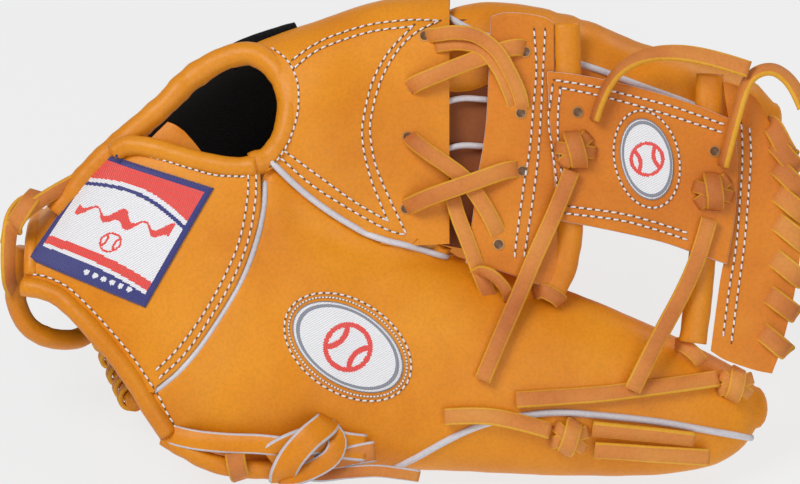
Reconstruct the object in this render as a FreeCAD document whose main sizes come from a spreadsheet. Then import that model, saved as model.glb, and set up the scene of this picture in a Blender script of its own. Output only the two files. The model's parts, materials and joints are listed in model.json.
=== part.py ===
"""Baseball glove for an infielder, worn on the left hand, with a two-bar web joined by a centre panel.

The glove stands like a tent, pocket down: the thumb half and the web are the front slope, the index stall is the
ridge, and the other three stalls and the palm are the back slope.

Every piece is drawn in the pattern frame of the front slope: local X runs from the wrist to the fingertips, local Y
runs up the slope from the thumb's edge to the index stall, and local Z stands out of the slope, away from the pocket.
One placement then leans the whole glove back. All sizes are in millimetres.
"""
import FreeCAD
import Part

import math
import os

import Sketcher
from FreeCAD import Placement, Rotation, Vector

# The pattern is the cutting pattern of one glove size. The three grading sizes in the sheet stretch it.
PATTERN_LENGTH = 305.0
PATTERN_HEIGHT = 182.0
PATTERN_DEPTH = 160.0

SIZES = {
    "glove_length": 305.0,        # wrist edge to the laces on the web's top bar
    "glove_height": 182.0,        # thumb's edge to the top of the index stall, up the front slope
    "glove_depth": 160.0,         # front slope to the little finger's stall
    "lean_angle": 33.0,           # degrees that the front slope leans back
    "leather": 2.6,               # shell leather
    "stall_wall": 3.2,            # shell leather of a finger stall with its seam turned in
    "liner": 1.2,                 # lining leather
    "felt": 5.0,                  # palm pad
    "clearance": 0.4,             # between two sewn layers
    "moving_gap": 1.2,            # between pieces that move against each other
    "lace_width": 6.4,
    "lace_thickness": 2.2,
    "thumb_strap_width": 8.0,     # strap whose knot sits on the thumb's heel
    "piping": 2.4,                # diameter of the welt between two panels
    "binding": 7.6,               # diameter of the rolled edge binding
    "patch": 1.4,                 # thickness of an embroidered patch
    "stay": 2.0,                  # plastic stay in the thumb
    "web_height": 9.5,            # back of the web's bars above the pattern plane
    "base_bar_left": 187.0,
    "base_bar_width": 27.0,
    "base_bar_top": 178.0,
    "base_bar_foot": 86.0,
    "base_roll": 15.0,            # diameter of the base bar's rolled edge
    "top_bar_left": 276.0,
    "top_bar_width": 26.0,
    "top_bar_top": 154.0,
    "top_bar_foot": 48.0,
    "top_roll": 16.0,             # diameter of the top bar's rolled edge
    "panel_left": 207.0,
    "panel_right": 275.0,
    "panel_top_left": 156.0,
    "panel_top_right": 138.0,
    "panel_foot_left": 104.0,
    "panel_foot_right": 85.0,
    "web_patch_length": 33.0,
    "web_patch_width": 21.0,
    "thumb_patch_length": 51.0,
    "thumb_patch_width": 33.0,
    "wrist_patch_width": 46.0,
    "wrist_patch_height": 44.0,
    "hole_length": 43.0,          # back opening, inside its binding
    "hole_width": 28.0,
    "rim_lace_count": 7,
    "heel_lace_count": 4,
}

doc = FreeCAD.newDocument("baseball_glove")
sheet = doc.addObject("Spreadsheet::Sheet", "sizes")


def fill_sheet():
    """Writes each driving size in its own cell, and gives the cell its name."""
    for row, (alias, value) in enumerate(SIZES.items(), start=1):
        sheet.set(f"A{row}", alias)
        sheet.set(f"B{row}", str(value))
        sheet.setAlias(f"B{row}", alias)
    doc.recompute()


def size(alias):
    """The value of a named cell."""
    return float(getattr(sheet, alias))


fill_sheet()

LEATHER, GAP, MOVING = size("leather"), size("clearance"), size("moving_gap")
LACE_W, LACE_T = size("lace_width"), size("lace_thickness")
STRAP_W = size("thumb_strap_width")
GRADE = Vector(
    size("glove_length") / PATTERN_LENGTH,
    size("glove_height") / PATTERN_HEIGHT,
    size("glove_depth") / PATTERN_DEPTH,
)
FAR = 400.0  # longer than any reach of the glove
OVAL_POWER = 2.5  # 2 is an ellipse; a stuffed stall is a little fuller
STALL_RUN_IN = 20.0  # how far before its mouth a stall's loft begins
BEND_SHARE = 0.45  # share of a run that each arc beside it takes
WELT_RUN = 9.0  # length of the straight runs that a round welt or binding is laid out in


def graded(x, y, z=0.0):
    """A point of the pattern, stretched to this glove's size."""
    return Vector(x * GRADE.x, y * GRADE.y, z * GRADE.z)


# ---------------------------------------------------------------- tools for soft shells


def closed_spline(points):
    """A smooth closed wire through the points."""
    curve = Part.BSplineCurve()
    curve.interpolate(Points=points, PeriodicFlag=True)
    return Part.Wire([curve.toShape()])


def open_spline(points):
    """A smooth open edge through the points."""
    curve = Part.BSplineCurve()
    curve.interpolate(Points=points)
    return curve.toShape()


def oval_ring(station, grow, corners=12):
    """The full oval section of a stall at one station (x, y, z, half height, half depth), grown by an offset."""
    x, y, z, half_y, half_z = station
    centre = graded(x, y, z)
    reach_y = half_y * GRADE.y + grow
    reach_z = half_z * GRADE.z + grow
    points = []
    for k in range(corners):
        turn = 2 * math.pi * k / corners
        c, s = math.cos(turn), math.sin(turn)
        full = (abs(c) ** OVAL_POWER + abs(s) ** OVAL_POWER) ** (-1 / OVAL_POWER)
        points.append(centre + Vector(0, reach_y * c * full, reach_z * s * full))
    return closed_spline(points)


def stall_solid(stations, grow, shorten=0.0):
    """A solid stall through its oval sections, cut straight at its first station. A negative grow makes the
    hollow, which also stops short of the tip."""
    mouth, last = list(stations[0]), list(stations[-1])
    mouth[0] -= STALL_RUN_IN
    last[0] -= shorten / GRADE.x
    rings = [oval_ring(s, grow) for s in (mouth, *stations[:-1], last)]
    start = graded(stations[0][0], 0).x
    return Part.makeLoft(rings, True, False).cut(slab(-FAR, start))


def slab(low, high):
    """All the space between two places along X."""
    return Part.makeBox(high - low, 2 * FAR, 2 * FAR, Vector(low, -FAR, -FAR))


def stall_layer(stations, inner, outer, tip):
    """A stall's wall between two offsets, open at the wrist end and closed by `tip` at the fingertip."""
    return stall_solid(stations, outer).cut(stall_solid(stations, inner, shorten=tip))


def band_section(x, line, inner, outer):
    """A closed section of a sheet at one station: the line offset by the layer's inner and outer distances."""
    points = [graded(x, y, z) for y, z in line]
    count = len(points)
    near, far = [], []
    for k, point in enumerate(points):
        before, after = points[max(k - 1, 0)], points[min(k + 1, count - 1)]
        along = (after - before).normalize()
        normal = Vector(0, -along.z, along.y)
        near.append(point + normal * inner)
        far.append(point + normal * outer)
    low, high = open_spline(near), open_spline(far)
    ends = [Part.makeLine(near[-1], far[-1]), Part.makeLine(far[0], near[0])]
    return Part.Wire(Part.__sortEdges__([low, ends[0], high, ends[1]]))


def sheet_layer(stations, inner, outer):
    """A curved sheet lofted through its sections, between two offsets from its line. Positive is outwards."""
    return Part.makeLoft([band_section(x, line, inner, outer) for x, line in stations], True, False)


def prism(points, low, high):
    """A straight prism over an outline of pattern points, along the slope's normal."""
    corners = [graded(x, y, 0) + Vector(0, 0, low) for x, y in points]
    wire = Part.makePolygon([*corners, corners[0]])
    return Part.Face(wire).extrude(Vector(0, 0, high - low))


def oval_prism(centre, length, width, turn, low, high):
    """A prism with an oval outline, whose long side is turned by `turn` degrees from the pattern's X."""
    long_side, short_side = max(length, width) / 2, min(length, width) / 2
    oval = Part.Ellipse(Vector(0, 0, 0), long_side, short_side)
    face = Part.Face(Part.Wire([oval.toShape()]))
    solid = face.extrude(Vector(0, 0, high - low))
    solid.Placement = Placement(Vector(centre.x, centre.y, low), Rotation(Vector(0, 0, 1), turn))
    return solid


def front_height(shape, x, y):
    """The highest point of a shape over one point of the pattern plane."""
    probe = Part.makeLine(Vector(x, y, FAR), Vector(x, y, -FAR))
    hits = shape.common(probe)
    return max(v.Z for v in hits.Vertexes)


def round_sweep(points, diameter):
    """A round section swept along straight runs joined by arcs."""
    path = rounded_path(points)
    profile = Part.Wire([Part.makeCircle(diameter / 2, points[0], points[1] - points[0])])
    return path.makePipeShell([profile], True, False)


def swept_round(points, diameter):
    """A round welt or binding of one diameter along a smooth line through the points."""
    line = open_spline(points)
    count = max(4, round(line.Length / WELT_RUN))
    return round_sweep(line.discretize(Number=count), diameter)


def flat_strap(points, width, thickness, across):
    """A flat strap or lace of rectangular section along straight runs joined by arcs; `across` is its flat's normal."""
    path = rounded_path(points)
    start = points[0]
    along = (points[1] - points[0]).normalize()
    side = along.cross(across).normalize()
    up = side.cross(along).normalize()
    corners = []
    for s, u in ((-1, -1), (1, -1), (1, 1), (-1, 1)):
        corners.append(start + side * (s * width / 2) + up * (u * thickness / 2))
    profile = Part.makePolygon([*corners, corners[0]])
    maker = Part.BRepOffsetAPI.MakePipeShell(path)
    maker.setFrenetMode(False)
    maker.add(profile, False, False)
    maker.setTransitionMode(1)
    maker.build()
    maker.makeSolid()
    return maker.shape()


def rounded_path(points):
    """Straight runs joined by tangent arcs; each arc takes its share of the shorter run on each side of its corner."""
    edges, last = [], points[0]
    for k in range(1, len(points) - 1):
        before, corner, after = points[k - 1], points[k], points[k + 1]
        back, ahead = (before - corner), (after - corner)
        reach = BEND_SHARE * min(back.Length, ahead.Length)
        start = corner + back.normalize() * reach
        end = corner + ahead.normalize() * reach
        half_turn = back.getAngle(ahead) / 2
        to_middle = (back + ahead).normalize()
        radius = reach * math.tan(half_turn)
        middle = corner + to_middle * (reach / math.cos(half_turn) - radius)
        edges.append(Part.makeLine(last, start))
        edges.append(Part.Arc(start, middle, end).toShape())
        last = end
    edges.append(Part.makeLine(last, points[-1]))
    return Part.Wire(edges)


# ---------------------------------------------------------------- tools for the document


PIECES = []


def feature(label, shape):
    """A sub-part whose shape is made in code."""
    piece = doc.addObject("Part::Feature", label)
    piece.Label = label
    piece.Shape = shape
    PIECES.append(piece)
    return piece


def body_plate(label, corners, low, thickness, rounding=None):
    """A flat leather piece: a PartDesign body with one sketch, whose corners are bound to the sheet, and a pad."""
    body = doc.addObject("PartDesign::Body", label)
    body.Label = label
    plane = [f for f in body.Origin.OriginFeatures if f.Role == "XY_Plane"][0]
    sketch = body.newObject("Sketcher::SketchObject", label + "_outline")
    sketch.AttachmentSupport = (plane, [""])
    sketch.MapMode = "FlatFace"
    sketch.setExpression(".AttachmentOffset.Base.z", low)
    count = len(corners)
    values = [Vector(number(x), number(y), 0) for x, y in corners]
    for k in range(count):
        sketch.addGeometry(Part.LineSegment(values[k], values[(k + 1) % count]), False)
    for k in range(count):
        sketch.addConstraint(Sketcher.Constraint("Coincident", k, 2, (k + 1) % count, 1))
    for k, (x, y) in enumerate(corners):
        across = sketch.addConstraint(Sketcher.Constraint("DistanceX", -1, 1, k, 1, values[k].x))
        sketch.setExpression(f"Constraints[{across}]", x)
        up = sketch.addConstraint(Sketcher.Constraint("DistanceY", -1, 1, k, 1, values[k].y))
        sketch.setExpression(f"Constraints[{up}]", y)
    pad = body.newObject("PartDesign::Pad", label + "_pad")
    pad.Profile = sketch
    pad.setExpression("Length", thickness)
    doc.recompute()
    if rounding:
        fillet = body.newObject("PartDesign::Fillet", label + "_corners")
        upright = [
            f"Edge{n + 1}"
            for n, edge in enumerate(pad.Shape.Edges)
            if abs(edge.tangentAt(edge.FirstParameter).z) > 0.99
        ]
        fillet.Base = (pad, upright)
        fillet.setExpression("Radius", rounding)
        doc.recompute()
    PIECES.append(body)
    return body


def number(expression):
    """The value that an expression on the sheet's cells has now."""
    names = {alias: size(alias) for alias in SIZES}
    text = expression.replace("sizes.", "")
    total, sign = 0.0, 1.0
    for token in text.replace("+", " + ").replace("-", " - ").split():
        if token == "+":
            sign = 1.0
        elif token == "-":
            sign = -1.0
        else:
            factor = 1.0
            for part in token.split("*"):
                factor *= names[part] if part in names else float(part)
            total += sign * factor
            sign = 1.0
    return total


# ---------------------------------------------------------------- stations of the pattern

# A stall is a row of ovals: x, y and z of the centre, half height, half depth.
INDEX = [(124, 151, -15, 18, 18), (150, 157, -15, 19, 19), (184, 165, -15, 20, 20), (215, 162, -15, 20, 20),
         (245, 152, -16, 18.5, 19), (270, 145, -17, 17.5, 17), (290, 142, -18, 13, 12), (298, 141, -18, 6, 6)]
MIDDLE = [(124, 150, -57, 18, 19), (160, 157, -58, 20, 20), (200, 160, -58, 20, 20), (240, 154, -57, 19.5, 20),
          (275, 146, -56, 17, 17), (294, 142, -55, 11, 11), (300, 141, -55, 5, 5)]
RING = [(122, 136, -97, 18, 18), (155, 141, -99, 20, 20), (195, 143, -99, 20, 20), (230, 140, -98, 19, 19),
        (262, 135, -95, 16, 16), (280, 133, -93, 10, 10), (286, 132, -93, 5, 5)]
PINKY = [(118, 104, -131, 14.5, 14.5), (145, 106, -138, 18, 18), (180, 110, -138, 18, 18), (212, 115, -135, 17, 17),
         (238, 118, -131, 14, 14), (252, 119, -129, 9, 9), (257, 119, -129, 4, 4)]
THUMB = [(56, 37, -6, 10, 12), (66, 40, -7, 20, 16), (78, 43, -8, 31, 20), (90, 46, -8, 41, 22),
         (104, 61, -8, 60, 24), (118, 57, -8, 54, 25), (140, 51.5, -9, 47, 25), (165, 47.5, -9, 42.5, 25),
         (190, 43.5, -9, 39.5, 24), (220, 38, -9, 35.5, 22), (250, 31.5, -9, 29, 18.5), (272, 28, -9, 22, 14.5),
         (284, 28, -9, 15.5, 10), (290, 29, -9, 8, 5)]

# The hand's back is a sheet: at each x, its line from the front's foot over the ridge to the back's foot.
BACK = [(12, [(72, 2), (84, 3.5), (96, -6), (101, -33), (97, -65), (88, -92), (76, -106)]),
        (36, [(50, 9), (85, 10.5), (118, 2), (128, -28), (122, -70), (103, -110), (80, -122)]),
        (62, [(36, 13), (92, 15), (143, 5), (157, -26), (150, -76), (123, -121), (87, -139)]),
        (92, [(60, 13), (118, 15), (163, 3), (173.5, -26), (168, -78), (139, -130), (95, -152)]),
        (122, [(100, 11), (142, 12), (168, 2), (174, -24), (173, -78), (147, -134), (100, -160)]),
        (146, [(92, 6.5), (140, 7.5), (171, 3), (179.5, -20), (180, -78), (153, -133), (108, -166)]),
        (170, [(92, 5.5), (140, 6), (172, 5), (190, -20), (190, -78), (156, -134), (110, -168)])]
BACK_END = 147.0  # past this the back sheet is only the front panel beside the web

# The palm: at each x, from the crease beside the thumb, under the stalls, to the little finger's edge.
PALM = [(42, [(59, -54), (55, -77), (61, -98), (76, -115)]),
        (64, [(68, -48), (60, -72), (64, -98), (80, -126)]),
        (92, [(98, -40), (92, -66), (84, -92), (81, -127)]),
        (122, [(128, -30), (121, -62), (100, -90), (79, -126)]),
        (160, [(137, -24), (132, -60), (112, -94), (81, -134)]),
        (200, [(139, -24), (134.5, -60), (115, -93), (85, -134)])]

PAD_START, PAD_END = 66.0, 116.0  # the felt pad's two ends along X

# Outlines on the pattern plane.
STRAP = [(100, 118), (84, 122), (60, 128), (38, 131), (8, 92), (9, 79), (34, 60), (60, 37)]
BELOW_STRAP = [(8, 92), (9, 79), (34, 60), (60, 37), (60, -40), (-40, -40), (-40, 92)]
THUMB_EDGE = [(98, 119.5), (104, 121), (118, 109), (145, 95.5), (186, 86.5), (320, 60), (320, -40), (40, -40),
              (56, 36)]
THUMB_TRIM = [(102, 119.5), (118, 107.5), (145, 94), (186, 150), (320, 150), (320, -60), (20, -60), (60, 35.5)]
HOLE_CENTRE, HOLE_TURN = (86, 144), 12.0
RIM_HEIGHT, RIM_SLOPE, RIM_TILT = 8.0, -0.55, 0.12  # the plane that the opening's binding lies in
RIM_CORNERS = 14
THUMB_PATCH_CENTRE, THUMB_PATCH_TURN = (133.5, 53), -36.0
WEB_PATCH_CENTRE, WEB_PATCH_TURN = (246, 121.5), 98.0
WRIST_PATCH_CENTRE, WRIST_PATCH_TURN = (48, 97), -17.0

# Edges and seams, as points of the pattern.
WRIST_EDGE = [(55, 34, 14.5), (44, 43, 13.5), (31.5, 54.5, 11.5), (18, 65, 8), (5.5, 74.5, 4.5)]
HEEL_EDGE = [(50, 29.5, -20), (44.5, 36, -46), (37, 46, -70), (33, 56, -86), (28, 65, -98)]
HEEL_TAB = [(4.5, 88, -8), (6, 76, -12), (11, 66, -18), (20, 60.5, -24), (29, 58, -30)]
STRAP_SEAM = [(101.8, 117.5, 16), (95, 104, 16.8), (88, 90, 16.8), (80.5, 75, 16.5), (73, 60, 16), (65.5, 45, 15.2)]
THUMB_TOP_SEAM = [(105.5, 118, 13.8), (118, 107.2, 12.6), (131, 100.4, 10.6), (145, 93.8, 7.8), (158, 91, 7.2),
                  (168.5, 88.8, 7)]
THUMB_SEAM = [(158, 10), (170, 17), (184, 23.5), (200, 27), (224, 27.5), (250, 25), (276, 20.5)]
INDEX_SEAM = [(176, 168), (196, 162), (218, 156), (240, 149), (258, 143.5)]

# Knots: centre, and half sizes of the lump that stands for the knot.
KNOTS = {
    "web_knot_left": ((220, 128, 20), (7, 8, 4.5)),
    "web_knot_right": ((272.7, 110.7, 20), (7, 8, 4.5)),
    "thumb_knot": ((218, 18, 17.1), (7, 8, 4.5)),
    "thumb_tip_knot": ((281.5, 38.7, 6.8), (6.5, 7.5, 4)),
    "thumb_strap_knot": ((119, 13, 18.2), (13, 10, 6.5)),
}
# Loose lace ends, each from its knot to its cut end.
LACE_ENDS = {
    "lace_end_left_down": [(218, 119.5, 18.6), (212, 104, 17.5), (204.5, 88, 16.5), (198, 72, 16),
                           (190.8, 56, 18), (184.3, 40.4, 18.4)],
    "lace_end_right_down": [(270, 101.5, 18.8), (266.5, 88, 17.5), (260.5, 74, 16), (253.5, 61, 15.2),
                            (247, 48.8, 15.6), (241, 36.6, 16.8)],
    "lace_end_left_up": [(226.5, 138.5, 19.5), (230, 150.5, 20.5), (238.5, 160.5, 21.2), (251, 164.5, 21.8),
                         (268.5, 163, 22.7), (284.5, 157.5, 23.8)],
    "lace_end_right_up": [(275, 121, 20), (278.5, 134.5, 20.5), (282, 148.5, 21), (285.5, 156, 21),
                          (293, 158.5, 21), (299, 155, 20.5), (303, 149.5, 20), (305.5, 143.5, 19.6)],
    "lace_end_thumb_tip": [(274.3, 40.6, 5.6), (261, 38.8, 9.6), (246, 37, 12.3), (230, 35, 14.3),
                           (213, 34, 16), (197, 33, 16.8)],
    "lace_end_thumb_left": [(210, 21.3, 17), (197, 25.2, 18.3), (183, 27.6, 18.3), (170, 26.6, 17)],
    "lace_end_thumb_low": [(227, 13.8, 13.2), (237, 13.2, 12), (248, 12.2, 10.6), (260, 11.4, 8.9), (271, 10.6, 6.9)],
    "lace_end_thumb_high": [(226, 22, 15.2), (239, 20.6, 13.5), (252.5, 19.2, 11.6), (265, 17.6, 9.6)],
}
RIM_LACE_REACH = 11.0  # from the top bar's edge to the lace's slots
ROLL_DEPTH = 3.2  # thickness of a bar's rolled edge
# Laces and straps that are held at both ends.
THUMB_STRAP_BAND = [(66, 20.5, 7.5), (78, 18.5, 11.6), (92, 16, 13.6), (104, 13.5, 14)]
THUMB_STRAP_ENDS = [[(133, 13, 13.5), (139, 13.6, 13.2), (145, 13.4, 12.6)],
                    [(130, 5.5, 9.5), (145, 4.5, 7), (161, 3.2, 5)]]
FOOT_LACE = [(180, 99, 14), (184.5, 86, 13.6), (188, 73, 11.6)]
WRIST_LACE = [(9, 104, -16), (7.6, 99, -5), (7.4, 91.5, 2), (7.8, 84, 5)]
FINGER_LACES = [((272, 145.5), -34.3, -38.1), ((262, 144), -75.4, -78.8), ((238, 128), -115.2, -118.4)]

# ---------------------------------------------------------------- hand body: back, strap, bindings


def offset_outline(points, distance):
    """The outline moved outwards by a distance, corner by corner, for an outline listed clockwise."""
    count, moved = len(points), []
    middle = Vector(sum(p[0] for p in points) / count, sum(p[1] for p in points) / count, 0)
    for x, y in points:
        out = (Vector(x, y, 0) - middle).normalize() * distance
        moved.append((x + out.x, y + out.y))
    return moved


def make_back():
    """Back of the hand, wrist strap and linings, all cut from one curved sheet."""
    behind = prism([(BACK_END, 60), (220, 60), (220, 260), (BACK_END, 260)], -FAR, 0)
    leather = sheet_layer(BACK, 0.0, LEATHER).cut(behind)
    beyond = slab(BACK_END * GRADE.x, FAR)
    lining = sheet_layer(BACK, -2 * GAP - size("liner"), -2 * GAP).cut(beyond)
    hole = graded(*HOLE_CENTRE)
    rim = size("binding") * 2 + 4 * GAP
    cutter = oval_prism(hole, size("hole_length") + rim, size("hole_width") + rim, HOLE_TURN, -22, FAR / 4)
    strap_zone = prism(STRAP, -20, 60)
    thumb_zone = prism(THUMB_EDGE, -22, 60).fuse(prism(BELOW_STRAP, -20, 60))
    feature("hand_back_panel", leather.cut(cutter).cut(strap_zone).cut(thumb_zone))
    feature("hand_back_lining", lining.cut(cutter).cut(strap_zone).cut(thumb_zone))
    inner_zone = prism(offset_outline(STRAP, -GAP), -20, 60)
    strap = leather.common(inner_zone).cut(cutter)
    feature("wrist_strap", strap)
    fleece = sheet_layer(BACK, -2 * GAP - size("liner"), -2 * GAP).common(inner_zone).cut(cutter)
    feature("strap_lining", fleece)
    patch_layer = sheet_layer(BACK, LEATHER + GAP, LEATHER + GAP + size("patch"))
    outline = wrist_patch_outline()
    feature("wrist_patch", patch_layer.common(prism(outline, -20, 60)))


def wrist_patch_outline():
    """The four corners of the patch on the strap, in pattern points."""
    half_w, half_h = size("wrist_patch_width") / 2, size("wrist_patch_height") / 2
    turn = math.radians(WRIST_PATCH_TURN)
    corners = []
    for a, b in ((-1, 1), (1, 1), (1, -1), (-1, -1)):
        across, up = a * half_w, b * half_h
        x = across * math.cos(turn) - up * math.sin(turn)
        y = across * math.sin(turn) + up * math.cos(turn)
        corners.append((WRIST_PATCH_CENTRE[0] + x, WRIST_PATCH_CENTRE[1] + y))
    return corners


def make_bindings():
    """Rolled bindings: round the back opening and along the strap's wrist edge."""
    hole = graded(*HOLE_CENTRE)
    half_l = (size("hole_length") + size("binding")) / 2
    half_w = (size("hole_width") + size("binding")) / 2
    turn = math.radians(HOLE_TURN)
    centre = Vector(hole.x, hole.y, RIM_HEIGHT)
    along = Vector(math.cos(turn), math.sin(turn), RIM_TILT) * half_l
    up = Vector(-math.sin(turn), math.cos(turn), RIM_SLOPE) * half_w
    corners = []
    for k in range(RIM_CORNERS):
        angle = 2 * math.pi * (k + 0.5) / RIM_CORNERS
        corners.append(centre + along * math.cos(angle) + up * math.sin(angle))
    start = (corners[0] + corners[-1]) / 2
    feature("opening_binding", round_sweep([start, *corners, start], size("binding")))
    feature("wrist_binding", swept_round([graded(*p) for p in WRIST_EDGE], size("binding")))
    feature("heel_binding", swept_round([graded(*p) for p in HEEL_EDGE], size("binding")))
    feature("heel_tab", swept_round([graded(*p) for p in HEEL_TAB], size("binding")))
    feature("heel_lace", Part.makeCompound(rings_along(HEEL_EDGE, int(size("heel_lace_count")))))
    feature("strap_piping", swept_round([graded(*p) for p in STRAP_SEAM], size("piping")))
    feature("thumb_top_piping", swept_round([graded(*p) for p in THUMB_TOP_SEAM], size("piping")))


def rings_along(points, count):
    """Turns of a lace round a binding, spread along it."""
    rings = []
    path = open_spline([graded(*p) for p in points])
    inner = size("binding") / 2 + GAP
    for k in range(count):
        share = path.FirstParameter + (path.LastParameter - path.FirstParameter) * (k + 0.9) / (count + 0.8)
        tangent = path.tangentAt(share)
        base = path.valueAt(share) - tangent * (LACE_W / 2)
        outer = Part.makeCylinder(inner + LACE_T, LACE_W, base, tangent)
        rings.append(outer.cut(Part.makeCylinder(inner, LACE_W, base, tangent)))
    return rings


def make_stalls():
    """Finger stalls of the hand: shell, and lining inside it."""
    wall, liner = size("stall_wall"), size("liner")
    for name, stations in (("index", INDEX), ("middle", MIDDLE), ("ring", RING), ("pinky", PINKY)):
        feature(name + "_stall", stall_layer(stations, -wall, 0.0, wall))
        inner = -wall - 2 * GAP
        feature(name + "_liner", stall_layer(stations[:-1], inner - liner, inner, liner + 2))


def make_palm():
    """The palm: shell leather, felt pad and lining, one on the other."""
    felt, liner = size("felt"), size("liner")
    hand_side, finger_side = slab(-FAR, PAD_START * GRADE.x), slab(PAD_END * GRADE.x, FAR)
    bed = 2 * GAP
    feature("palm_shell", sheet_layer(PALM, -LEATHER, 0.0))
    feature("palm_pad", sheet_layer(PALM, bed, bed + felt).cut(hand_side).cut(finger_side))
    feature("palm_lining", sheet_layer(PALM, 2 * bed + felt, 2 * bed + felt + liner).cut(finger_side))


def make_thumb():
    """Thumb half: shell, lining, stay and patch."""
    wall, liner = size("stall_wall"), size("liner")
    trim = prism(THUMB_TRIM, -FAR / 2, FAR / 2)
    shell = stall_layer(THUMB, -wall, 0.0, wall).common(trim)
    feature("thumb_shell", shell)
    bed = -wall - 2 * GAP
    insert = stall_layer(THUMB[:-1], bed - size("stay"), bed, size("stay") + 2)
    pocket_side = prism([(130, 22), (262, 22), (262, 40), (130, 62)], -60, -10)
    feature("thumb_stay", insert.common(pocket_side))
    feature("thumb_heel_pad", insert.common(prism([(72, 12), (118, 12), (118, 88), (92, 70)], -60, -10)))
    inner = bed - size("stay") - 4 * GAP
    feature("thumb_liner", stall_layer(THUMB[2:-1], inner - liner, inner, liner + 3).common(trim))
    whole = stall_solid(THUMB, 0.0)
    patch_bed = stall_solid(THUMB, GAP)
    patch_top = stall_solid(THUMB, GAP + size("patch"))
    oval = oval_prism(graded(*THUMB_PATCH_CENTRE), size("thumb_patch_length"), size("thumb_patch_width"),
                      THUMB_PATCH_TURN, 0, 80)
    feature("thumb_patch", patch_top.cut(patch_bed).common(oval))
    return whole


def make_web():
    """The web: two bars across it, their rolled edges, the centre panel and its patch."""
    back, leather = "sizes.web_height", "sizes.leather"
    body_plate(
        "web_base_bar",
        [("sizes.base_bar_left", "sizes.base_bar_foot"),
         ("sizes.base_bar_left+sizes.base_bar_width", "sizes.base_bar_foot-8"),
         ("sizes.base_bar_left+sizes.base_bar_width", "sizes.base_bar_top"),
         ("sizes.base_bar_left", "sizes.base_bar_top")],
        back, leather, "2")
    top_bar = body_plate(
        "web_top_bar",
        [("sizes.top_bar_left-4", "sizes.top_bar_foot+4"),
         ("sizes.top_bar_left+sizes.top_bar_width-7", "sizes.top_bar_foot-5"),
         ("sizes.top_bar_left+sizes.top_bar_width", "sizes.top_bar_foot+36"),
         ("sizes.top_bar_left+sizes.top_bar_width-5", "sizes.top_bar_top-12"),
         ("sizes.top_bar_left+9", "sizes.top_bar_top")],
        back, leather, "2")
    body_plate(
        "web_center_panel",
        [("sizes.panel_left", "sizes.panel_foot_left"),
         ("sizes.panel_right", "sizes.panel_foot_right"),
         ("sizes.panel_right", "sizes.panel_top_right"),
         ("sizes.panel_left", "sizes.panel_top_left")],
        back + "+sizes.leather+sizes.clearance", leather, "1.5")
    bed = size("web_height") + 2 * LEATHER + 2 * GAP
    feature("web_patch", oval_prism(graded(*WEB_PATCH_CENTRE), size("web_patch_length"), size("web_patch_width"),
                                    WEB_PATCH_TURN, bed, bed + size("patch")))
    return top_bar


def top_edge_x(y):
    """The right edge of the web's top bar at a height y on the front slope."""
    right = size("top_bar_left") + size("top_bar_width")
    corners = [(size("top_bar_foot") - 5, right - 7), (size("top_bar_foot") + 36, right),
               (size("top_bar_top") - 12, right - 5), (size("top_bar_top"), size("top_bar_left") + 9)]
    for (y0, x0), (y1, x1) in zip(corners, corners[1:]):
        if y <= y1:
            return x0 + (x1 - x0) * (y - y0) / (y1 - y0)
    return corners[-1][1]


def cut_feature(label, base, tools):
    """A Part::Cut of a body and the holes through it; the cut takes over the body's name."""
    drill = doc.addObject("Part::Feature", label + "_slots")
    drill.Shape = Part.makeCompound(tools)
    base.Label = label + "_blank"
    cut = doc.addObject("Part::Cut", label + "_cut")
    cut.Base, cut.Tool = base, drill
    doc.recompute()
    PIECES.remove(base)
    cut.Label = label
    PIECES.append(cut)
    return cut


def make_rim_lace(top_bar):
    """The lace whipped round the top bar's outer edge, each turn through its own slot."""
    middle = size("web_height") + LEATHER / 2
    first, last = size("top_bar_foot") + 8, size("top_bar_top") - 16
    count = int(size("rim_lace_count"))
    turns, slots = [], []
    for k in range(count):
        y = first + (last - first) * k / (count - 1)
        edge = min(top_edge_x(y - LACE_W / 2), top_edge_x(y + LACE_W / 2))
        outer_edge = max(top_edge_x(y - LACE_W / 2), top_edge_x(y + LACE_W / 2), top_edge_x(y))
        slot_x = edge - RIM_LACE_REACH
        slots.append(Part.makeBox(LACE_T + 2 * GAP, LACE_W + 2 * GAP, LEATHER * 3,
                                  Vector(slot_x - GAP, y - LACE_W / 2 - GAP, middle - LEATHER * 1.5)))
        inner_x = outer_edge + GAP - (slot_x + LACE_T)
        inner_z = LEATHER + 2 * GAP
        outer = Part.makeBox(inner_x + 2 * LACE_T, LACE_W, inner_z + 2 * LACE_T)
        outer = outer.makeFillet(LACE_T * 0.9, [e for e in outer.Edges if abs(e.tangentAt(0).y) > 0.9])
        turn = outer.cut(Part.makeBox(inner_x, LACE_W + 2, inner_z, Vector(LACE_T, -1, LACE_T)))
        turn.translate(Vector(slot_x, y - LACE_W / 2, middle - inner_z / 2 - LACE_T))
        turns.append(turn)
    cut_feature("web_top_bar", top_bar, slots)
    feature("web_rim_lace", Part.makeCompound(turns))


def oval_bar(foot, head, width, depth):
    """A rolled leather edge: an oval bar from foot to head."""
    along = (head - foot)
    oval = Part.Ellipse(Vector(0, 0, 0), width / 2, depth / 2)
    wire = Part.Wire([oval.toShape()])
    wire.Placement = Placement(foot, Rotation(Vector(1, 0, 0), -90))
    return Part.Face(wire).extrude(along)


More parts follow.
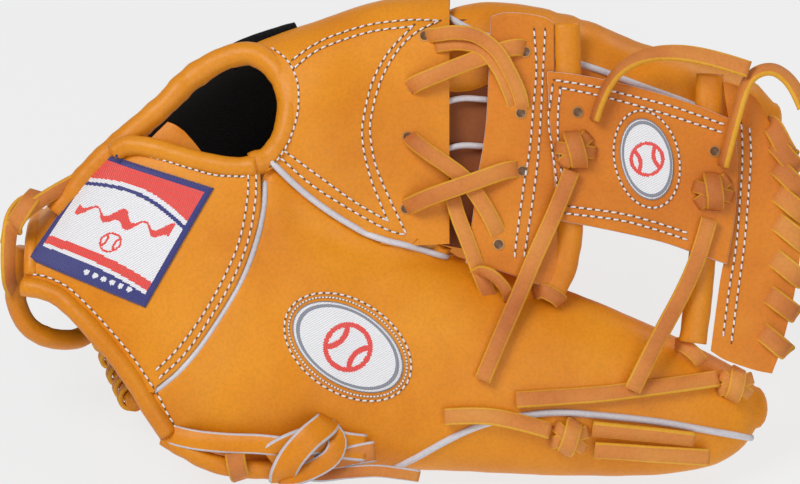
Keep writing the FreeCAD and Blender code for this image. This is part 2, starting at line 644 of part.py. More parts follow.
def make_rolls():
    """The rolled edges of the two bars, each beside its bar, below the centre panel."""
    depth = ROLL_DEPTH
    middle = size("web_height") + LEATHER - depth / 2
    base_x = size("base_bar_left") + size("base_bar_width") + GAP + size("base_roll") / 2
    foot = Vector(base_x, size("base_bar_foot") - 14, middle)
    head = Vector(base_x, size("base_bar_top") - 2.5, middle)
    feature("web_base_roll", oval_bar(foot, head, size("base_roll"), depth))
    top_x = size("top_bar_left") - GAP - size("top_roll") / 2
    foot = Vector(top_x - 4, size("top_bar_foot") + 5, middle)
    head = Vector(top_x + 2, size("top_bar_top") + 3, middle)
    feature("web_top_roll", oval_bar(foot, head, size("top_roll"), depth))


def surface_line(shape, points, lift):
    """Pattern points dropped onto a shape and lifted off it."""
    line = []
    for x, y in points:
        point = graded(x, y)
        line.append(Vector(point.x, point.y, front_height(shape, point.x, point.y) + lift))
    return line


def make_piping(thumb_solid):
    """The welts along the thumb and along the index stall."""
    lift = size("piping") / 2 + 2 * GAP
    feature("thumb_piping", swept_round(surface_line(thumb_solid, THUMB_SEAM, lift), size("piping")))
    index = stall_solid(INDEX, 0.0)
    feature("index_piping", swept_round(surface_line(index, INDEX_SEAM, lift), size("piping")))


def lace(points, width=LACE_W, thickness=LACE_T):
    """A flat lace along pattern points, its flat side to the front."""
    return flat_strap([graded(*p) for p in points], width, thickness, Vector(0, 0, 1))


def make_laces():
    """Laces held at both ends: the two crossings by the base bar, the loops at the bars' feet, and the ties."""
    low = size("web_height") + LEATHER + GAP + LACE_T / 2
    high = low + LACE_T + GAP
    for label, under, over in (
        ("base_lace_lower", ((160, 130), (193, 101)), ((157, 108), (196, 122))),
        ("base_lace_upper", ((160, 151), (196, 167)), ((166, 171), (199, 147))),
    ):
        straps = []
        for level, ((x0, y0), (x1, y1)) in ((low, under), (high, over)):
            straps.append(lace([(x0, y0, level / GRADE.z), (x1, y1, level / GRADE.z)]))
        feature(label, Part.makeCompound(straps))
    feature("base_foot_lace", lace(FOOT_LACE))
    feature("wrist_lace", lace(WRIST_LACE))
    bars = []
    for (x, y), top, foot in FINGER_LACES:
        bars.append(Part.makeCylinder(LACE_W / 3, (top - foot) * GRADE.z, graded(x, y, foot), Vector(0, 0, 1)))
    feature("finger_lace", Part.makeCompound(bars))
    feature("thumb_strap_band", lace(THUMB_STRAP_BAND, STRAP_W, LEATHER))
    feature("thumb_strap_ends", Part.makeCompound([lace(p, STRAP_W, LEATHER) for p in THUMB_STRAP_ENDS]))


def make_lace_ends():
    """The loose ends: each a flat lace from its knot, with the radii of its bends printed."""
    for label, points in LACE_ENDS.items():
        solid = lace(points)
        feature(label, solid)
        radii, length = bends([graded(*p) for p in points])
        share = solid.Volume / (length * LACE_W * LACE_T)
        print(f"{label}: {length:.1f} mm, radii {radii}, volume share {share:.3f}")


def bends(points):
    """Radii of a rounded path's arcs, and the path's length."""
    radii = []
    for before, corner, after in zip(points, points[1:], points[2:]):
        back, ahead = before - corner, after - corner
        reach = BEND_SHARE * min(back.Length, ahead.Length)
        radii.append(round(reach * math.tan(back.getAngle(ahead) / 2), 1))
    return radii, rounded_path(points).Length


def make_knots():
    """The knots, each a plain rounded lump."""
    for label, (centre, reach) in KNOTS.items():
        lump = Part.makeSphere(1.0)
        matrix = FreeCAD.Matrix()
        matrix.scale(*reach)
        lump = lump.transformGeometry(matrix)
        lump.translate(graded(*centre))
        feature(label, lump)


def make_foot_bits():
    """Where the lace comes out under each bar's foot: a short rounded bit on the thumb."""
    for label, (x, y, z) in (("base_foot_bit", (209, 70.5, 9.6)), ("top_foot_bit", (264, 48.5, 6))):
        corner = graded(x, y, z) - Vector(LACE_W * 0.7, LACE_W * 0.6, 0)
        bit = Part.makeBox(LACE_W * 1.4, LACE_W * 1.2, LACE_T, corner)
        upright = [e for e in bit.Edges if abs(e.tangentAt(0).z) > 0.9]
        feature(label, bit.makeFillet(LACE_W * 0.4, upright))


make_back()
make_bindings()
make_stalls()
make_palm()
thumb_whole = make_thumb()
web_top_bar = make_web()
make_rim_lace(web_top_bar)
make_rolls()
make_piping(thumb_whole)
make_laces()
make_lace_ends()
make_knots()
make_foot_bits()


# ---------------------------------------------------------------- placing and writing


def stand_glove():
    """Leans every piece back and puts the middle of the glove's foot at the origin, loose lace ends not counted."""
    lean = Rotation(Vector(1, 0, 0), 90.0 - size("lean_angle"))
    homes = [piece.Placement for piece in PIECES]
    for piece, home in zip(PIECES, homes):
        piece.Placement = Placement(Vector(0, 0, 0), lean).multiply(home)
    doc.recompute()
    box = FreeCAD.BoundBox()
    for piece in PIECES:
        if piece.Label not in LACE_ENDS:
            box.add(piece.Shape.optimalBoundingBox(False, False))
    middle = Vector(-(box.XMin + box.XMax) / 2, -(box.YMin + box.YMax) / 2, -box.ZMin)
    for piece, home in zip(PIECES, homes):
        piece.Placement = Placement(middle, lean).multiply(home)
    doc.recompute()
    print("origin of the pattern frame:", [round(c, 4) for c in middle])


def write_parts():
    """Checks every object and every sub-part's shape, then writes one STEP file per sub-part."""
    for thing in doc.Objects:
        if "Invalid" in thing.State or "Error" in thing.State:
            raise RuntimeError(f"{thing.Label} failed: {thing.State}")
    for piece in PIECES:
        if piece.Shape.isNull() or not piece.Shape.isValid():
            raise RuntimeError(f"{piece.Label} has no valid shape")
    os.makedirs("parts", exist_ok=True)
    for piece in PIECES:
        piece.Shape.exportStep(f"parts/{piece.Label}.step")
        print(f"{piece.Label}: {len(piece.Shape.Solids)} solid, {piece.Shape.Volume / 1000:.2f} cm3")


stand_glove()
write_parts()
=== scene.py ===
# %% [markdown]
# # A baseball glove
# The glove stands pocket down, like a tent. The thumb half and the web are the front slope, and the index
# finger's stall is the ridge. The CAD model gives every piece its size and place. Here each piece gets its
# leather, its stitches, its welts and its laces.

import json
import math
import random

import bmesh
import bpy
from mathutils import Matrix, Vector, noise
from mathutils.bvhtree import BVHTree

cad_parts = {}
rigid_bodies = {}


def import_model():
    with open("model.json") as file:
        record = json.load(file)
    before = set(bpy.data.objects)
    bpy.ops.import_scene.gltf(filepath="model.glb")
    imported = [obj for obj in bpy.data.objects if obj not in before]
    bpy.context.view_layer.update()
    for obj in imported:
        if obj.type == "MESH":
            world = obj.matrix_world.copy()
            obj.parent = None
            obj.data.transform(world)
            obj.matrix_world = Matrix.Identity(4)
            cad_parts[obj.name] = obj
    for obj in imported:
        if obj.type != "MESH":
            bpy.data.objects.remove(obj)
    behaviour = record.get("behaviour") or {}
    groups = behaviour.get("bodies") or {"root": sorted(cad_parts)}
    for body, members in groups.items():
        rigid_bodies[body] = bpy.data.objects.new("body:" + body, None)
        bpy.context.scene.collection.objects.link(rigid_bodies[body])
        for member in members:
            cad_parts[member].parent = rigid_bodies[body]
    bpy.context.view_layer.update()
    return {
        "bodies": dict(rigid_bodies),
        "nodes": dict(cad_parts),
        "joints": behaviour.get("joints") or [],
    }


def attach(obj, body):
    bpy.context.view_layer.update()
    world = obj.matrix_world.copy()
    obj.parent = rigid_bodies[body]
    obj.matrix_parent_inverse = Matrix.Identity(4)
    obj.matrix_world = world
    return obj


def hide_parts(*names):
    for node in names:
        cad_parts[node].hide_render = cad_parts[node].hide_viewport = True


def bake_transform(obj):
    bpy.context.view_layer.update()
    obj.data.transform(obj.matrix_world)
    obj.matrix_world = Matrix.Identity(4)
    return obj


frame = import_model()
random.seed(11)
bpy.ops.object.select_all(action="DESELECT")

# %% [markdown]
# A glove maker works on flat patterns. So places are given here on the pattern of the front slope, in
# millimetres: x runs from the wrist to the fingertips, v runs up the slope, and w stands out of it. The
# thumb's hinge is at a known place on the pattern, and that ties the pattern to the frame.

# %% The pattern's place in the frame
LEAN = math.radians(33.0)
ALONG = Vector((1, 0, 0))
UPHILL = Vector((0, math.sin(LEAN), math.cos(LEAN)))
OUT = Vector((0, -math.cos(LEAN), math.sin(LEAN)))
HINGE_ON_PATTERN = (160.0, 100.0, -5.0)


def across_slope(x, v, w=0.0):
    """A step on the pattern, in metres along the frame's axes."""
    return (ALONG * x + UPHILL * v + OUT * w) / 1000


hinge = next(j for j in frame["joints"] if j["name"] == "thumb_close")
PATTERN_START = Vector(hinge["pos_m"]) - across_slope(*HINGE_ON_PATTERN)


def spot(x, v, w=0.0):
    """A place on the pattern as a point in the frame."""
    return PATTERN_START + across_slope(x, v, w)


print("pattern starts at", [round(c, 4) for c in PATTERN_START])

# %% [markdown]
# The camera looks straight at the front slope through a long lens, so the slope shows as it was drawn on
# the pattern.

# %% Camera
VIEW_WIDTH = 0.3064
LENS, SENSOR = 150.0, 36.0
camera_data = bpy.data.cameras.new("camera")
camera_data.lens, camera_data.sensor_width = LENS, SENSOR
camera_data.clip_end = 20
camera = bpy.data.objects.new("camera", camera_data)
bpy.context.scene.collection.objects.link(camera)
camera.location = spot(153.2, 92.7, 0) + OUT * (VIEW_WIDTH * LENS / SENSOR)
camera.matrix_world = Matrix((
    (ALONG.x, UPHILL.x, OUT.x, camera.location.x),
    (ALONG.y, UPHILL.y, OUT.y, camera.location.y),
    (ALONG.z, UPHILL.z, OUT.z, camera.location.z),
    (0, 0, 0, 1),
))
bpy.context.scene.camera = camera
print("camera at", [round(c, 3) for c in camera.location])

# %% [markdown]
# Lines come up everywhere on a glove: seams, welts, laces. A smooth line through a few points is made by
# one helper, and another walks along it in equal steps.

# %% Smooth lines
def smooth_line(points, per_run=10):
    """A smooth line through the points, with `per_run` steps from one to the next."""
    given = [Vector(p) for p in points]
    given = [2 * given[0] - given[1], *given, 2 * given[-1] - given[-2]]
    line = []
    for a, b, c, d in zip(given, given[1:], given[2:], given[3:]):
        for k in range(per_run):
            t = k / per_run
            line.append(0.5 * (2 * b + (c - a) * t + (2 * a - 5 * b + 4 * c - d) * t ** 2
                               + (3 * b - a - 3 * c + d) * t ** 3))
    line.append(given[-2])
    return line


def line_length(line):
    return sum((b - a).length for a, b in zip(line, line[1:]))


def heading(line, k, closed=False):
    """The way a line runs at one of its points."""
    if closed:
        return (line[(k + 1) % len(line)] - line[k - 1]).normalized()
    return (line[min(k + 1, len(line) - 1)] - line[max(k - 1, 0)]).normalized()


def evenly(line, count):
    """The line again, as `count` equal steps."""
    total, walked, spots, k = line_length(line), 0.0, [line[0].copy()], 0
    for n in range(1, count):
        target = total * n / count
        while walked + (line[k + 1] - line[k]).length < target and k < len(line) - 2:
            walked += (line[k + 1] - line[k]).length
            k += 1
        run = (line[k + 1] - line[k])
        spots.append(line[k] + run * ((target - walked) / max(run.length, 1e-9)))
    spots.append(line[-1].copy())
    return spots


# %% [markdown]
# A lace is a flat strip cut from one hide. Its wide faces are dyed, and its cut edges show the yellow core.
# So a lace here is a rounded flat section carried along a line, and the two edges have a material of their
# own.

# %% A flat strip along a line
SECTION = [(-1.0, -0.45), (-0.82, -1.0), (0.82, -1.0), (1.0, -0.45), (1.0, 0.45), (0.82, 1.0), (-0.82, 1.0),
           (-1.0, 0.45)]
WIDE_SIDES = (1, 5)  # the two flats; the other sides of the section are cut edge


def flat_strip(name, line, width, thick, looks, materials, closed=False):
    """A strip along `line`. `looks` is the way its flat looks at each point."""
    count = len(line)
    verts, faces, kinds = [], [], []
    for k, point in enumerate(line):
        along = heading(line, k, closed)
        side = along.cross(looks[k]).normalized()
        up = side.cross(along).normalized()
        for across, high in SECTION:
            verts.append(point + side * (across * width / 2) + up * (high * thick / 2))
    sides = len(SECTION)
    for k in range(count if closed else count - 1):
        following = (k + 1) % count
        for n in range(sides):
            m = (n + 1) % sides
            faces.append((k * sides + n, k * sides + m, following * sides + m, following * sides + n))
            kinds.append(0 if n in WIDE_SIDES else 1)
    if not closed:
        faces.append(tuple(reversed(range(sides))))
        faces.append(tuple((count - 1) * sides + n for n in range(sides)))
        kinds += [1, 1]
    mesh = bpy.data.meshes.new(name)
    mesh.from_pydata(verts, [], faces)
    for material in materials:
        mesh.materials.append(material)
    mesh.polygons.foreach_set("material_index", [min(kind, len(materials) - 1) for kind in kinds])
    mesh.polygons.foreach_set("use_smooth", [True] * len(faces))
    mesh.update()
    strip = bpy.data.objects.new(name, mesh)
    bpy.context.scene.collection.objects.link(strip)
    tidy_normals(strip)
    return strip


def tidy_normals(piece):
    """Merges doubles and makes a closed piece's faces point outwards."""
    work = bmesh.new()
    work.from_mesh(piece.data)
    bmesh.ops.remove_doubles(work, verts=work.verts, dist=1e-6)
    bmesh.ops.recalc_face_normals(work, faces=work.faces)
    work.to_mesh(piece.data)
    work.free()


# %% [markdown]
# Materials come next. One function turns a colour's hex value to linear light, and one adds a node with its
# settings and its links.

# %% Colour and node helpers
def hex_colour(code):
    """An sRGB hex value as linear light."""
    values = [int(code[k:k + 2], 16) / 255 for k in (1, 3, 5)]
    linear = [c / 12.92 if c <= 0.04045 else ((c + 0.055) / 1.055) ** 2.4 for c in values]
    return (*linear, 1.0)


def add_node(tree, kind, settings=None, **inputs):
    """Adds a node. Settings are its own values. Inputs are its sockets by name, or by number as i0, i1 and so
    on, and each is a value or another node's socket."""
    node = tree.nodes.new(kind)
    for name, value in (settings or {}).items():
        setattr(node, name, value)
    for name, value in inputs.items():
        by_number = name[0] == "i" and name[1:].isdigit()
        socket = node.inputs[int(name[1:]) if by_number else name.replace("_", " ")]
        if isinstance(value, bpy.types.NodeSocket):
            tree.links.new(value, socket)
        else:
            socket.default_value = value
    return node


def new_material(name):
    """An empty material and its node tree, with the shader and the object coordinates."""
    material = bpy.data.materials.new(name)
    material.use_nodes = True
    tree = material.node_tree
    shader = tree.nodes["Principled BSDF"]
    place = add_node(tree, "ShaderNodeTexCoord")
    return material, tree, shader, place.outputs["Object"]


def ramp(tree, factor, stops):
    """A colour ramp with stops of (place, colour)."""
    node = add_node(tree, "ShaderNodeValToRGB", None, Fac=factor)
    elements = node.color_ramp.elements
    while len(elements) < len(stops):
        elements.new(0.5)
    for element, (place, colour) in zip(elements, stops):
        element.position, element.color = place, colour
    return node.outputs["Color"]


def mixed(tree, factor, first, second, blend="MIX"):
    """Mixes two colours."""
    node = add_node(tree, "ShaderNodeMix", {"data_type": "RGBA", "blend_type": blend}, i0=factor, i6=first,
                    i7=second)
    return node.outputs[2]


# %% [markdown]
# The shell is full-grain steerhide, drum dyed a golden tan and waxed. Close up it has fine pebbled grain
# about half a millimetre wide, faint stretch marks, and a slow change of tone from hide to hide. It is
# satin, neither dull nor glossy.

# %% Golden tan steerhide
MM = 1000.0  # texture scales are per metre, so a grain of g millimetres has scale MM / g


def steerhide(name, tone, dark, light, rough=0.46, grain=0.55, depth=0.10):
    """Dyed full-grain leather with its grain, clouding of the dye and faint creases."""
    material, tree, shader, place = new_material(name)
    cloud = add_node(tree, "ShaderNodeTexNoise", None, Vector=place, Scale=MM / 45, Detail=3.0,
                     Roughness=0.55)
    dye = ramp(tree, cloud.outputs["Fac"], [(0.3, dark), (0.5, tone), (0.72, light)])
    speck = add_node(tree, "ShaderNodeTexNoise", None, Vector=place, Scale=MM / 1.2, Detail=2.0)
    pores = ramp(tree, speck.outputs["Fac"], [(0.35, (0.86, 0.86, 0.86, 1)), (0.6, (1, 1, 1, 1))])
    colour = mixed(tree, 0.6, dye, pores, "MULTIPLY")
    tree.links.new(colour, shader.inputs["Base Color"])
    pebble = add_node(tree, "ShaderNodeTexVoronoi", {"feature": "SMOOTH_F1"}, Vector=place,
                      Scale=MM / (grain * 1.6))
    crease = add_node(tree, "ShaderNodeTexNoise", None, Vector=place, Scale=MM / 6, Detail=5.0,
                      Roughness=0.65)
    height = mixed(tree, 0.5, pebble.outputs["Distance"], crease.outputs["Fac"])
    bump = add_node(tree, "ShaderNodeBump", None, Height=height, Strength=depth, Distance=0.0006)
    tree.links.new(bump.outputs["Normal"], shader.inputs["Normal"])
    shine = ramp(tree, crease.outputs["Fac"],
                 [(0.3, (rough - 0.05,) * 3 + (1,)), (0.7, (rough + 0.09,) * 3 + (1,))])
    tree.links.new(shine, shader.inputs["Roughness"])
    shader.inputs["Specular IOR Level"].default_value = 0.34
    return material


shell_hide = steerhide("golden_tan_steerhide", hex_colour("#e28a10"), hex_colour("#d87d0a"),
                       hex_colour("#ea9519"))
binding_hide = steerhide("rolled_binding_leather", hex_colour("#de8814"), hex_colour("#d2780e"),
                         hex_colour("#e6931e"), rough=0.42, depth=0.14)
inner_hide = steerhide("lining_leather", hex_colour("#8d4519"), hex_colour("#6f3210"), hex_colour("#a05a28"),
                       rough=0.6)
# The web's hide has a redder dye of its own, and is also darker as painted shade, where the web's bars and panel
# lean away from the light.
web_tone_and_shade_hide = steerhide("web_steerhide_with_painted_shade", hex_colour("#d97d12"), hex_colour("#cd700c"), hex_colour("#e28c1e"))
print("leather materials:", shell_hide.name, binding_hide.name, inner_hide.name)


# %% [markdown]
# Laces are rawhide: oiled, a bit redder than the shell, with a matt flesh side and fine cracks where they
# bend. Their cut edges stay bright yellow.

# %% Lace leather, its cut edge, and raw edges of the shell
lace_hide = steerhide("oiled_rawhide_lace", hex_colour("#d6833a"), hex_colour("#bb672c"),
                      hex_colour("#e09845"), rough=0.6, grain=0.4, depth=0.25)
lace_edge = steerhide("yellow_cut_edge", hex_colour("#e3a42c"), hex_colour("#d18f20"), hex_colour("#efb843"),
                      rough=0.7, grain=0.3, depth=0.2)
raw_edge = steerhide("raw_leather_edge", hex_colour("#c98b45"), hex_colour("#b07030"), hex_colour("#d9a25c"),
                     rough=0.75, grain=0.3, depth=0.2)
welt_hide = steerhide("pale_grey_welt_leather", hex_colour("#cfcbd0"), hex_colour("#b9b6bd"),
                      hex_colour("#dedade"), rough=0.5, grain=0.4, depth=0.12)
# Painted shade: a dark leather colour for the shadowed deep inside of the gap by the web.
painted_shade_hide = steerhide("painted_shade_inner_leather", hex_colour("#8a4718"), hex_colour("#6d3410"),
                      hex_colour("#9c5824"), rough=0.6)


# %% [markdown]
# The thread is waxed nylon, the patches are machine embroidery: satin threads about 0.4 mm wide laid side
# by side, which catch the light along their length. The threads are drawn twice as coarse as they are, so
# that they show.

# %% Thread, embroidery and lining
def satin(name, tone, direction, thread=0.8, rough=0.5):
    """Embroidered satin stitch whose threads lie across `direction`."""
    material, tree, shader, place = new_material(name)
    turned = add_node(tree, "ShaderNodeVectorRotate", {"rotation_type": "AXIS_ANGLE"}, Vector=place,
                      Axis=OUT, Angle=math.radians(direction))
    jitter = add_node(tree, "ShaderNodeTexNoise", None, Vector=place, Scale=MM / 3, Detail=2.0)
    shifted = add_node(tree, "ShaderNodeVectorMath", {"operation": "MULTIPLY_ADD"},
                       i0=jitter.outputs["Color"], i1=(0.0006, 0.0006, 0.0006), i2=turned.outputs["Vector"])
    threads = add_node(tree, "ShaderNodeTexWave", {"wave_type": "BANDS", "bands_direction": "X"},
                       Vector=shifted.outputs["Vector"], Scale=MM / thread / 3.14, Distortion=0.4)
    # Painted shade: each thread is drawn darker at its edges, in the groove beside the next thread.
    dark = tuple(c * 0.72 for c in tone[:3]) + (1,)
    tint = ramp(tree, threads.outputs["Fac"], [(0.0, dark), (0.45, tone)])
    tree.links.new(tint, shader.inputs["Base Color"])
    bump = add_node(tree, "ShaderNodeBump", None, Height=threads.outputs["Fac"], Strength=0.35,
                    Distance=0.0004)
    tree.links.new(bump.outputs["Normal"], shader.inputs["Normal"])
    shader.inputs["Roughness"].default_value = rough
    shader.inputs["Sheen Weight"].default_value = 0.3
    return material


def thread_material(name, tone):
    """Waxed thread with a fine twist."""
    material, tree, shader, place = new_material(name)
    twist = add_node(tree, "ShaderNodeTexNoise", None, Vector=place, Scale=MM / 0.7, Detail=1.0)
    dark = tuple(c * 0.8 for c in tone[:3]) + (1,)
    tree.links.new(ramp(tree, twist.outputs["Fac"], [(0.35, dark), (0.6, tone)]), shader.inputs["Base Color"])
    shader.inputs["Roughness"].default_value = 0.45
    return material


white_thread = thread_material("white_waxed_thread", hex_colour("#efeae6"))
# Painted shade: the dark brown of the needle holes between stitches and of the eyelets' bowls.
painted_hole_shade = thread_material("needle_hole_shadow", hex_colour("#6b4a2c"))
white_satin = satin("white_satin_stitch", hex_colour("#eeedf0"), 60)
navy_satin = satin("navy_satin_stitch", hex_colour("#33357c"), -30)
coral_satin = satin("coral_satin_stitch", hex_colour("#ec4941"), 20)
grey_satin = satin("grey_satin_stitch", hex_colour("#8d8f9a"), 0)


def knit(name, tone):
    """Black knitted lining, its loops about 1 mm wide."""
    material, tree, shader, place = new_material(name)
    loops = add_node(tree, "ShaderNodeTexVoronoi", None, Vector=place, Scale=MM / 1.1)
    lit = tuple(min(1.0, c * 2.2 + 0.004) for c in tone[:3]) + (1,)
    tree.links.new(ramp(tree, loops.outputs["Distance"], [(0.0, lit), (0.6, tone)]),
                   shader.inputs["Base Color"])
    bump = add_node(tree, "ShaderNodeBump", None, Height=loops.outputs["Distance"], Strength=0.4,
                    Distance=0.0005)
    tree.links.new(bump.outputs["Normal"], shader.inputs["Normal"])
    shader.inputs["Roughness"].default_value = 0.9
    shader.inputs["Specular IOR Level"].default_value = 0.15
    shader.inputs["Sheen Weight"].default_value = 0.04
    return material


black_lining = knit("black_knitted_lining", hex_colour("#09090a"))
felt = knit("pressed_wool_felt", hex_colour("#b9ae97"))
stay_plastic = knit("moulded_black_stay", hex_colour("#202022"))
print("materials so far:", len(bpy.data.materials))

# %% [markdown]
# The floor is a plain pale sweep. It glows a little, so the glove stands on a white that is even all over.

# %% Floor and light
def pale_floor():
    bpy.ops.mesh.primitive_grid_add(x_subdivisions=4, y_subdivisions=4, size=12, location=(0, 0, -0.0006))
    floor = bpy.context.active_object
    floor.name = "floor"
    material, tree, shader, place = new_material("pale_floor")
    cloud = add_node(tree, "ShaderNodeTexNoise", None, Vector=place, Scale=0.6)
    tint = ramp(tree, cloud.outputs["Fac"], [(0.3, (0.1, 0.1, 0.1, 1)), (0.7, (0.104, 0.104, 0.104, 1))])
    tree.links.new(tint, shader.inputs["Base Color"])
    shader.inputs["Emission Color"].default_value = hex_colour("#ebebeb")
    shader.inputs["Emission Strength"].default_value = 0.93
    shader.inputs["Roughness"].default_value = 1.0
    shader.inputs["Specular IOR Level"].default_value = 0.0
    floor.data.materials.append(material)
    return floor


def soft_light(name, place, target, size, watts):
    """A large soft light that looks at a point."""
    data = bpy.data.lights.new(name, "AREA")
    data.shape, data.size, data.energy = "DISK", size, watts
    light = bpy.data.objects.new(name, data)
    bpy.context.scene.collection.objects.link(light)
    light.location = place
    light.rotation_euler = (Vector(target) - Vector(place)).to_track_quat("-Z", "Y").to_euler()


bpy.ops.object.select_all(action="DESELECT")
pale_floor()
soft_light("key_above_left", (-0.55, -0.5, 1.15), (0, -0.02, 0.06), 0.7, 9.2)
soft_light("fill_front", (0.35, -1.2, 0.55), (0, 0, 0.06), 0.9, 4.2)
soft_light("back_right", (0.8, 0.7, 0.9), (0, 0, 0.08), 0.7, 4.2)
world = bpy.data.worlds.new("studio")
bpy.context.scene.world = world
world.use_nodes = True
world.node_tree.nodes["Background"].inputs["Color"].default_value = (0.9, 0.92, 0.95, 1)
world.node_tree.nodes["Background"].inputs["Strength"].default_value = 0.31
bpy.context.scene.view_settings.view_transform = "Standard"

# %% [markdown]
# The loose lace ends come first, because their lengths are real lengths. For each, its line is one smooth NURBS
# curve through the route's points, and the flat strip follows that curve. The strip's flat looks out of the
# slope, and leans a little as the lace turns.

# %% Loose lace ends
LACE_W, LACE_T = 0.0064, 0.0022
LACE_ENDS = {
    "lace_end_left_down": [(218, 119.5, 18.6), (212, 104, 17.5), (204.5, 88, 16.5), (198, 72, 16),
                           (190.8, 56, 18), (184.3, 40.4, 18.4)],
    "lace_end_right_down": [(270, 101.5, 18.8), (266.5, 88, 17.5), (260.5, 74, 16), (253.5, 61, 15.2),
                            (247, 48.8, 15.6), (241, 36.6, 16.8)],
    "lace_end_left_up": [(226.5, 138.5, 19.5), (230, 150.5, 20.5), (238.5, 160.5, 21.2), (251, 164.5, 21.8),
                         (268.5, 163, 22.7), (284.5, 157.5, 23.8)],
    "lace_end_right_up": [(275, 121, 20), (278.5, 134.5, 20.5), (282, 148.5, 21), (285.5, 156, 21),
                          (293, 158.5, 21), (299, 155, 20.5), (303, 149.5, 20), (305.5, 143.5, 19.6)],
    "lace_end_thumb_tip": [(274.3, 40.6, 5.6), (261, 38.8, 9.6), (246, 37, 12.3), (230, 35, 14.3),
                           (213, 34, 16), (197, 33, 16.8)],
    "lace_end_thumb_left": [(210, 21.3, 17), (197, 25.2, 18.3), (183, 27.6, 18.3), (170, 26.6, 17)],
    "lace_end_thumb_low": [(227, 13.8, 13.2), (237, 13.2, 12), (248, 12.2, 10.6), (260, 11.4, 8.9),
                           (271, 10.6, 6.9)],
    "lace_end_thumb_high": [(226, 22, 15.2), (239, 20.6, 13.5), (252.5, 19.2, 11.6), (265, 17.6, 9.6)],
}
LACE_LEANS = {  # how far the flat turns about the lace's own line, in degrees, at its start and its end
    "lace_end_left_down": (5, 8), "lace_end_right_down": (5, -6), "lace_end_left_up": (-72, -12),
    "lace_end_right_up": (-68, -40), "lace_end_thumb_tip": (20, 14), "lace_end_thumb_left": (14, 4),
    "lace_end_thumb_low": (16, 4), "lace_end_thumb_high": (30, 34),
}


def nurbs_line(name, points):
    """Points read from a NURBS spline that has the route's points as its control points."""
    curve = bpy.data.curves.new(name, "CURVE")
    curve.dimensions = "3D"
    spline = curve.splines.new("NURBS")
    spline.points.add(len(points) - 1)
    for control, point in zip(spline.points, points):
        control.co = (*point, 1)
    spline.order_u = 3
    spline.use_endpoint_u = True
    spline.resolution_u = 12
    carrier = bpy.data.objects.new(name, curve)
    bpy.context.scene.collection.objects.link(carrier)
    bpy.context.view_layer.update()
    traced = bpy.data.meshes.new_from_object(carrier)
    line = [v.co.copy() for v in traced.vertices]
    bpy.data.objects.remove(carrier)
    bpy.data.curves.remove(curve)
    bpy.data.meshes.remove(traced)
    return line


def leaning(line, start, end):
    """The way a strip's flat looks at each point, turned about the line by an angle that changes along it."""
    looks = []
    for k in range(len(line)):
        share = k / (len(line) - 1)
        turn = math.radians(start + (end - start) * share * share * (3 - 2 * share))
        looks.append(Matrix.Rotation(turn, 3, heading(line, k)) @ OUT)
    return looks


def body_of_node(node):
    """The CAD body that a node rides on."""
    return next(name for name, empty in frame["bodies"].items() if frame["nodes"][node].parent is empty)


for end, route in LACE_ENDS.items():
    line = nurbs_line(end, [spot(*p) for p in route])
    strip = flat_strip(end + "_strip", line, LACE_W, LACE_T, leaning(line, *LACE_LEANS[end]),
                       [lace_hide, lace_edge])
    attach(strip, body_of_node(end))
    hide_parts(end)
    print(end, "is", round(line_length(line) * 1000, 1), "mm long")

# %% [markdown]
# The shell of a glove is leather with a slow, soft surface. It is never quite flat: the hide was stretched
# over a hot form, and it keeps shallow dents. One helper pushes a piece's surface in and out by a few
# tenths of a millimetre. Another gives a sheet its thickness and its soft cut edges.

# %% Soft surfaces
def rumple(piece, depth_mm, width_mm, seed=0.0):
    """Shallow dents of that depth and width, along each point's own normal."""
    work = bmesh.new()
    work.from_mesh(piece.data)
    work.normal_update()
    shifts = []
    for v in work.verts:
        there = v.co * (1000 / width_mm) + Vector((seed, 2 * seed, 3 * seed))
        swell = noise.noise(there) + 0.4 * noise.noise(there * 2.7)
        shifts.append(v.normal * (swell * depth_mm / 1000))
    for v, shift in zip(work.verts, shifts):
        v.co += shift
    work.to_mesh(piece.data)
    work.free()


def apply_all(piece):
    """Applies a piece's modifiers."""
    bpy.ops.object.select_all(action="DESELECT")
    piece.select_set(True)
    bpy.context.view_layer.objects.active = piece
    for modifier in list(piece.modifiers):
        bpy.ops.object.modifier_apply(modifier=modifier.name)


def give_thickness(piece, thickness_mm, rounding_mm=0.6, edge=True):
    """Gives a sheet of leather its thickness, inwards, and rounded edges that show the raw leather."""
    solid = piece.modifiers.new("thickness", "SOLIDIFY")
    solid.thickness = thickness_mm / 1000
    solid.offset = -1
    if edge:
        piece.data.materials.append(raw_edge)
        solid.material_offset_rim = len(piece.data.materials) - 1
    soft = piece.modifiers.new("soft_edges", "BEVEL")
    soft.width = rounding_mm / 1000
    soft.segments = 2
    soft.limit_method = "ANGLE"
    soft.angle_limit = math.radians(50)
    apply_all(piece)
    bpy.ops.object.select_all(action="DESELECT")
    piece.select_set(True)
    bpy.context.view_layer.objects.active = piece
    bpy.ops.object.shade_smooth_by_angle(angle=math.radians(55))


def new_piece(name, verts, faces, material):
    """A mesh object from points in the frame."""
    mesh = bpy.data.meshes.new(name)
    mesh.from_pydata(verts, [], faces)
    mesh.materials.append(material)
    mesh.polygons.foreach_set("use_smooth", [True] * len(faces))
    mesh.update()
    piece = bpy.data.objects.new(name, mesh)
    bpy.context.scene.collection.objects.link(piece)
    return piece


def stands_for(piece, body, slot, *nodes):
    """The piece rides on a body and stands for CAD nodes, which it hides. The slot is not used."""
    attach(piece, body)
    if nodes:
        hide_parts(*nodes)
    print(piece.name, len(piece.data.polygons), "faces")
    return piece


# %% [markdown]
# A finger stall is a tube of leather sewn shut along one side. It is full at the knuckle and closes at the
# tip. Its sections are ovals at a few stations along the finger, and the rings between them follow
# smoothly.

